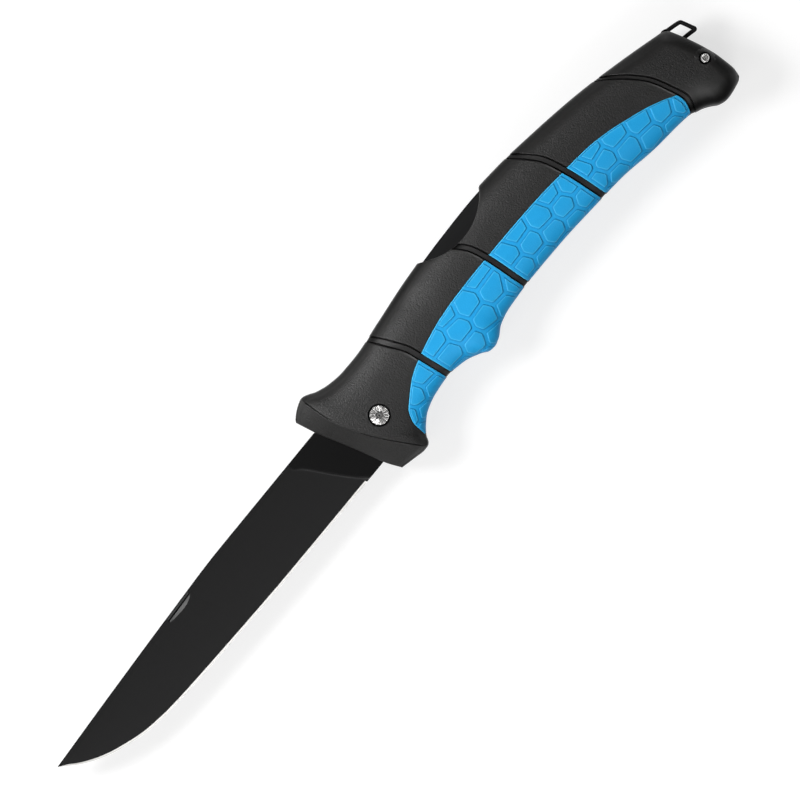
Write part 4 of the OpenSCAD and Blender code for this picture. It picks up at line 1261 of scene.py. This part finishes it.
for name, sign, stands_for in (("screw", 1, ["pivot_screw"]), ("barrel", -1, [])):
    add_head(f"pivot_{name}_head", (0, 0), PIVOT_HEAD, PIVOT_TONES, sign, stands_for)
for side, sign in SIDES:
    stands_for = ["rear_rivet"] if sign > 0 else []
    add_head(f"rivet_end_{side}", RIVET_AT, RIVET_END, RIVET_TONES, sign, stands_for)

# %% Rods between the heads
ROD_R = 2.4


def add_rod(name, centre, radius, stands_for):
    """A plain rod between the two seats, closed at both ends."""
    profile = [(0, -SEAT_Z), (radius, -SEAT_Z), (radius, SEAT_Z), (0, SEAT_Z)]
    points, faces = lathe(profile, centre)
    add_piece(name, points, faces, "handle", [bare_steel], stands_for)


add_rod("pivot_rod", (0, 0), ROD_R, ["pivot_barrel"])
add_rod("rivet_rod", RIVET_AT, RIVET_END[0], [])

# %% [markdown]
# ## Lanyard loop
#
# The loop at the pommel is a bent black bar about a millimetre and a half
# thick, with rounded corners. Such a piece is a small cross section carried
# along a closed path.

# %% Lanyard loop
LOOP_AT, LOOP_LONG, LOOP_HIGH = 0.9757 * GRIP, 5.9, 6.4
LOOP_THICK, LOOP_DEEP, LOOP_SQUARE = 1.25, 2.2, 0.6
LOOP_PATH = [
    (-0.3, 0.97), (0.03, 0.91), (0.33, 0.838), (0.6, 0.757), (0.69, 0.71), (0.73, 0.62),
    (0.78, 0.456), (0.86, 0.17), (0.895, 0.06), (0.85, 0.015), (0.7, 0.045), (0.5, 0.092),
    (0.2, 0.15), (-0.3, 0.24),
]


def squared_circle(count, power):
    """A circle's cosines and sines, each raised to a power under 1, which makes it squarer."""
    a = full_turn(count)
    return [np.sign(part) * np.abs(part) ** power for part in (np.cos(a), np.sin(a))]


def loop_surface(around=20, steps=160):
    """A rounded bar along a closed smooth path: each section is a squared circle.

    Between two knots the path is a cubic whose ends have the slopes of the
    lines through their neighbours.
    """
    knots = np.array(LOOP_PATH) * (LOOP_LONG, LOOP_HIGH) + (LOOP_AT, 0)
    place = np.linspace(0, len(knots), steps + 1)[:-1]
    i, s = place.astype(int), (place % 1)[:, None]
    p0, p1, p2, p3 = (knots[(i + k) % len(knots)] for k in (-1, 0, 1, 2))
    square = 2 * p0 - 5 * p1 + 4 * p2 - p3
    cube = 3 * p1 - p0 - 3 * p2 + p3
    path = 0.5 * (2 * p1 + (p2 - p0) * s + square * s**2 + cube * s**3)
    ahead = np.roll(path, -1, 0) - np.roll(path, 1, 0)
    ahead /= np.linalg.norm(ahead, axis=1)[:, None]
    side = np.column_stack([-ahead[:, 1], ahead[:, 0]])
    wide, deep = squared_circle(around, LOOP_SQUARE)
    xy = path[:, None, :] + side[:, None, :] * (wide * LOOP_THICK / 2)[None, :, None]
    z = np.broadcast_to((deep * LOOP_DEEP / 2)[None, :, None], (*xy.shape[:2], 1))
    points = np.concatenate([xy, z], -1)
    points = np.concatenate([points, points[:1]])
    return sheet(points)


points, faces = loop_surface()
add_piece(
    "lanyard_wire", points, faces, "handle", [dark_steel], ["lanyard_loop"], sharp=60
)

# %% [markdown]
# ## Leaf spring
#
# A flat steel leaf presses the lock bar up. Its rear half is held in a slot of
# the spacer and its tip lies under a nub of the bar, so it bends whenever the
# bar rocks. Here it is a straight bar from its tip to its rear end.

# %% Leaf spring
LEAF_TIP, LEAF_REAR = np.array([50.94, 10.71]), np.array([83.97, 9.25])
LEAF_THICK, LEAF_WIDE, LEAF_SQUARE = 1.0, 2.4, 0.25


def leaf_surface(steps=90, around=32):
    """A flat bar along a straight line, closed at both ends: each section is a squared circle."""
    way = (LEAF_REAR - LEAF_TIP) / np.linalg.norm(LEAF_REAR - LEAF_TIP)
    line = LEAF_TIP + (LEAF_REAR - LEAF_TIP) * np.linspace(0, 1, steps)[:, None]
    line = np.concatenate([line[:1], line, line[-1:]])
    size = np.r_[0, np.ones(steps), 0][:, None]
    thick, wide = squared_circle(around, LEAF_SQUARE)
    thick, wide = size * thick * LEAF_THICK / 2, size * wide * LEAF_WIDE / 2
    points = np.stack([line[:, :1] - way[1] * thick, line[:, 1:] + way[0] * thick, wide], -1)
    return sheet(points)


points, faces = leaf_surface()
leaf = add_piece("leaf_spring", points, faces, None, [bare_steel], ["lock_spring"])
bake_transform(leaf)

# %% [markdown]
# ## Pieces whose solid is already right
#
# The liners, the spacer, the lock bar, the washers and the pins are plain cut
# or turned pieces, and little of them shows. Their solids stay as they are and
# only get a finish.

# %% Finish the other solids
KEPT = {
    "liner_top": dark_steel, "liner_bottom": dark_steel, "lock_bar": dark_steel,
    "back_spacer": black_spacer,
    "lock_bar_pin": bare_steel, "spring_pin": bare_steel, "spacer_pin": bare_steel,
    "pivot_washer_top": bronze, "pivot_washer_bottom": bronze,
}
for name, material in KEPT.items():
    mesh = nodes[name].data
    mesh.materials.clear()
    mesh.materials.append(material)
print("kept solids", len(KEPT))

# %% [markdown]
# ## Table, light and camera
#
# The photograph looks straight down on the knife. A very long lens keeps both
# ends at one scale. The table is white for the camera but still takes a soft
# shadow. Its own glow is weakest where the lamps' pool of light lies and grows
# outside it, so the paper stays white in low views too. The room is dim above
# and has a white wall at the horizon. A broad lamp on the spine's side draws
# the bright band along the black scales.

# %% Table
TABLE_HALF, TABLE_Z = 40.0, -0.0002  # metres, so that its edge is never seen
GLOW_NEAR, GLOW_FAR, POOL = 0.7, 1.0, (0.16, 0.4)
PAPER_GREY, DIM_GREY = 0.37, 0.3
table_mesh = bpy.data.meshes.new("table_top")
corners = np.array([(-1, -1), (1, -1), (1, 1), (-1, 1)]) * TABLE_HALF
table_mesh.from_pydata([(x, y, TABLE_Z) for x, y in corners.tolist()], [], [(0, 1, 2, 3)])
table = add_object("table_top", table_mesh)
paper = Finish("white_paper")
far = paper.node("ShaderNodeVectorMath", {"operation": "LENGTH"}, paper.where, out="Value")
outside = ((far - POOL[0]) / (POOL[1] - POOL[0])).clamped()
glow_power = outside * (GLOW_FAR - GLOW_NEAR) + GLOW_NEAR
glow = paper.node("ShaderNodeEmission", None, (1, 1, 1, 1), glow_power)
white, dim = (paper.node("ShaderNodeBsdfDiffuse", None, (c, c, c, 1)) for c in (PAPER_GREY, DIM_GREY))
lit = paper.node("ShaderNodeAddShader", None, white, glow)
paper_look = paper.node("ShaderNodeMixShader", None, paper.background_share(), dim, lit)
paper.feed(paper.tree.nodes["Material Output"].inputs["Surface"], paper_look)
table_mesh.materials.append(paper.material)
print("table", 2 * TABLE_HALF, "m wide")

# %% Light
ROOM, HORIZON = 0.11, (0.05, 0.12)
scene = bpy.context.scene
scene.view_settings.view_transform = "Standard"
world = bpy.data.worlds.new("studio")
room = Nodes(world)
toward = room.node("ShaderNodeTexCoord", out="Generated")
height = room.node("ShaderNodeSeparateXYZ", None, toward, out="Z")
wall = 1 - ((height - HORIZON[0]) / (HORIZON[1] - HORIZON[0])).clamped()
strength = room.background_share() * wall * (1 - ROOM) + ROOM
backdrop = room.node("ShaderNodeBackground", None, (1, 1, 1, 1), strength)
room.feed(room.tree.nodes["World Output"].inputs["Surface"], backdrop)
scene.world = world


def add_lamp(name, place, aim, size, power):
    """A square soft lamp at a place, turned to a point, in metres and watts."""
    data = bpy.data.lights.new(name, "AREA")
    data.shape, data.size, data.energy = "SQUARE", size, power
    lamp = add_object(name, data)
    lamp.location = place
    lamp.rotation_euler = (Vector(aim) - Vector(place)).to_track_quat("-Z", "Y").to_euler()
    print(name, power, "W")


KNIFE = (0, 0, 0.01)
add_lamp("spine_lamp", (-0.15, 0.27, 0.38), KNIFE, 0.2, 2.4)
add_lamp("belly_lamp", (-0.12, -0.3, 0.43), KNIFE, 0.25, 1.0)
add_lamp("tip_lamp", (-1.0, -0.1, 1.0), (0, 0, 0), 0.6, 3)

# %% Camera
LENS, SENSOR = 400.0, 36.0
VIEW_WIDE, VIEW_Z, TURN = 0.22695, 0.016, -50.7  # width in metres at this height, and turn in degrees
AIM = (np.array([7.08, -1.8]) + SHIFT[:2]) * MM
camera_data = bpy.data.cameras.new("camera")
camera_data.lens, camera_data.sensor_width = LENS, SENSOR
camera = add_object("camera", camera_data)
camera.location = (AIM[0], AIM[1], VIEW_Z + VIEW_WIDE * LENS / SENSOR)
camera.rotation_euler = (0, 0, math.radians(TURN))
camera_data.clip_start, camera_data.clip_end = 0.1, 20
scene.camera = camera
print("camera", round(camera.location.z, 2), "m above the table")
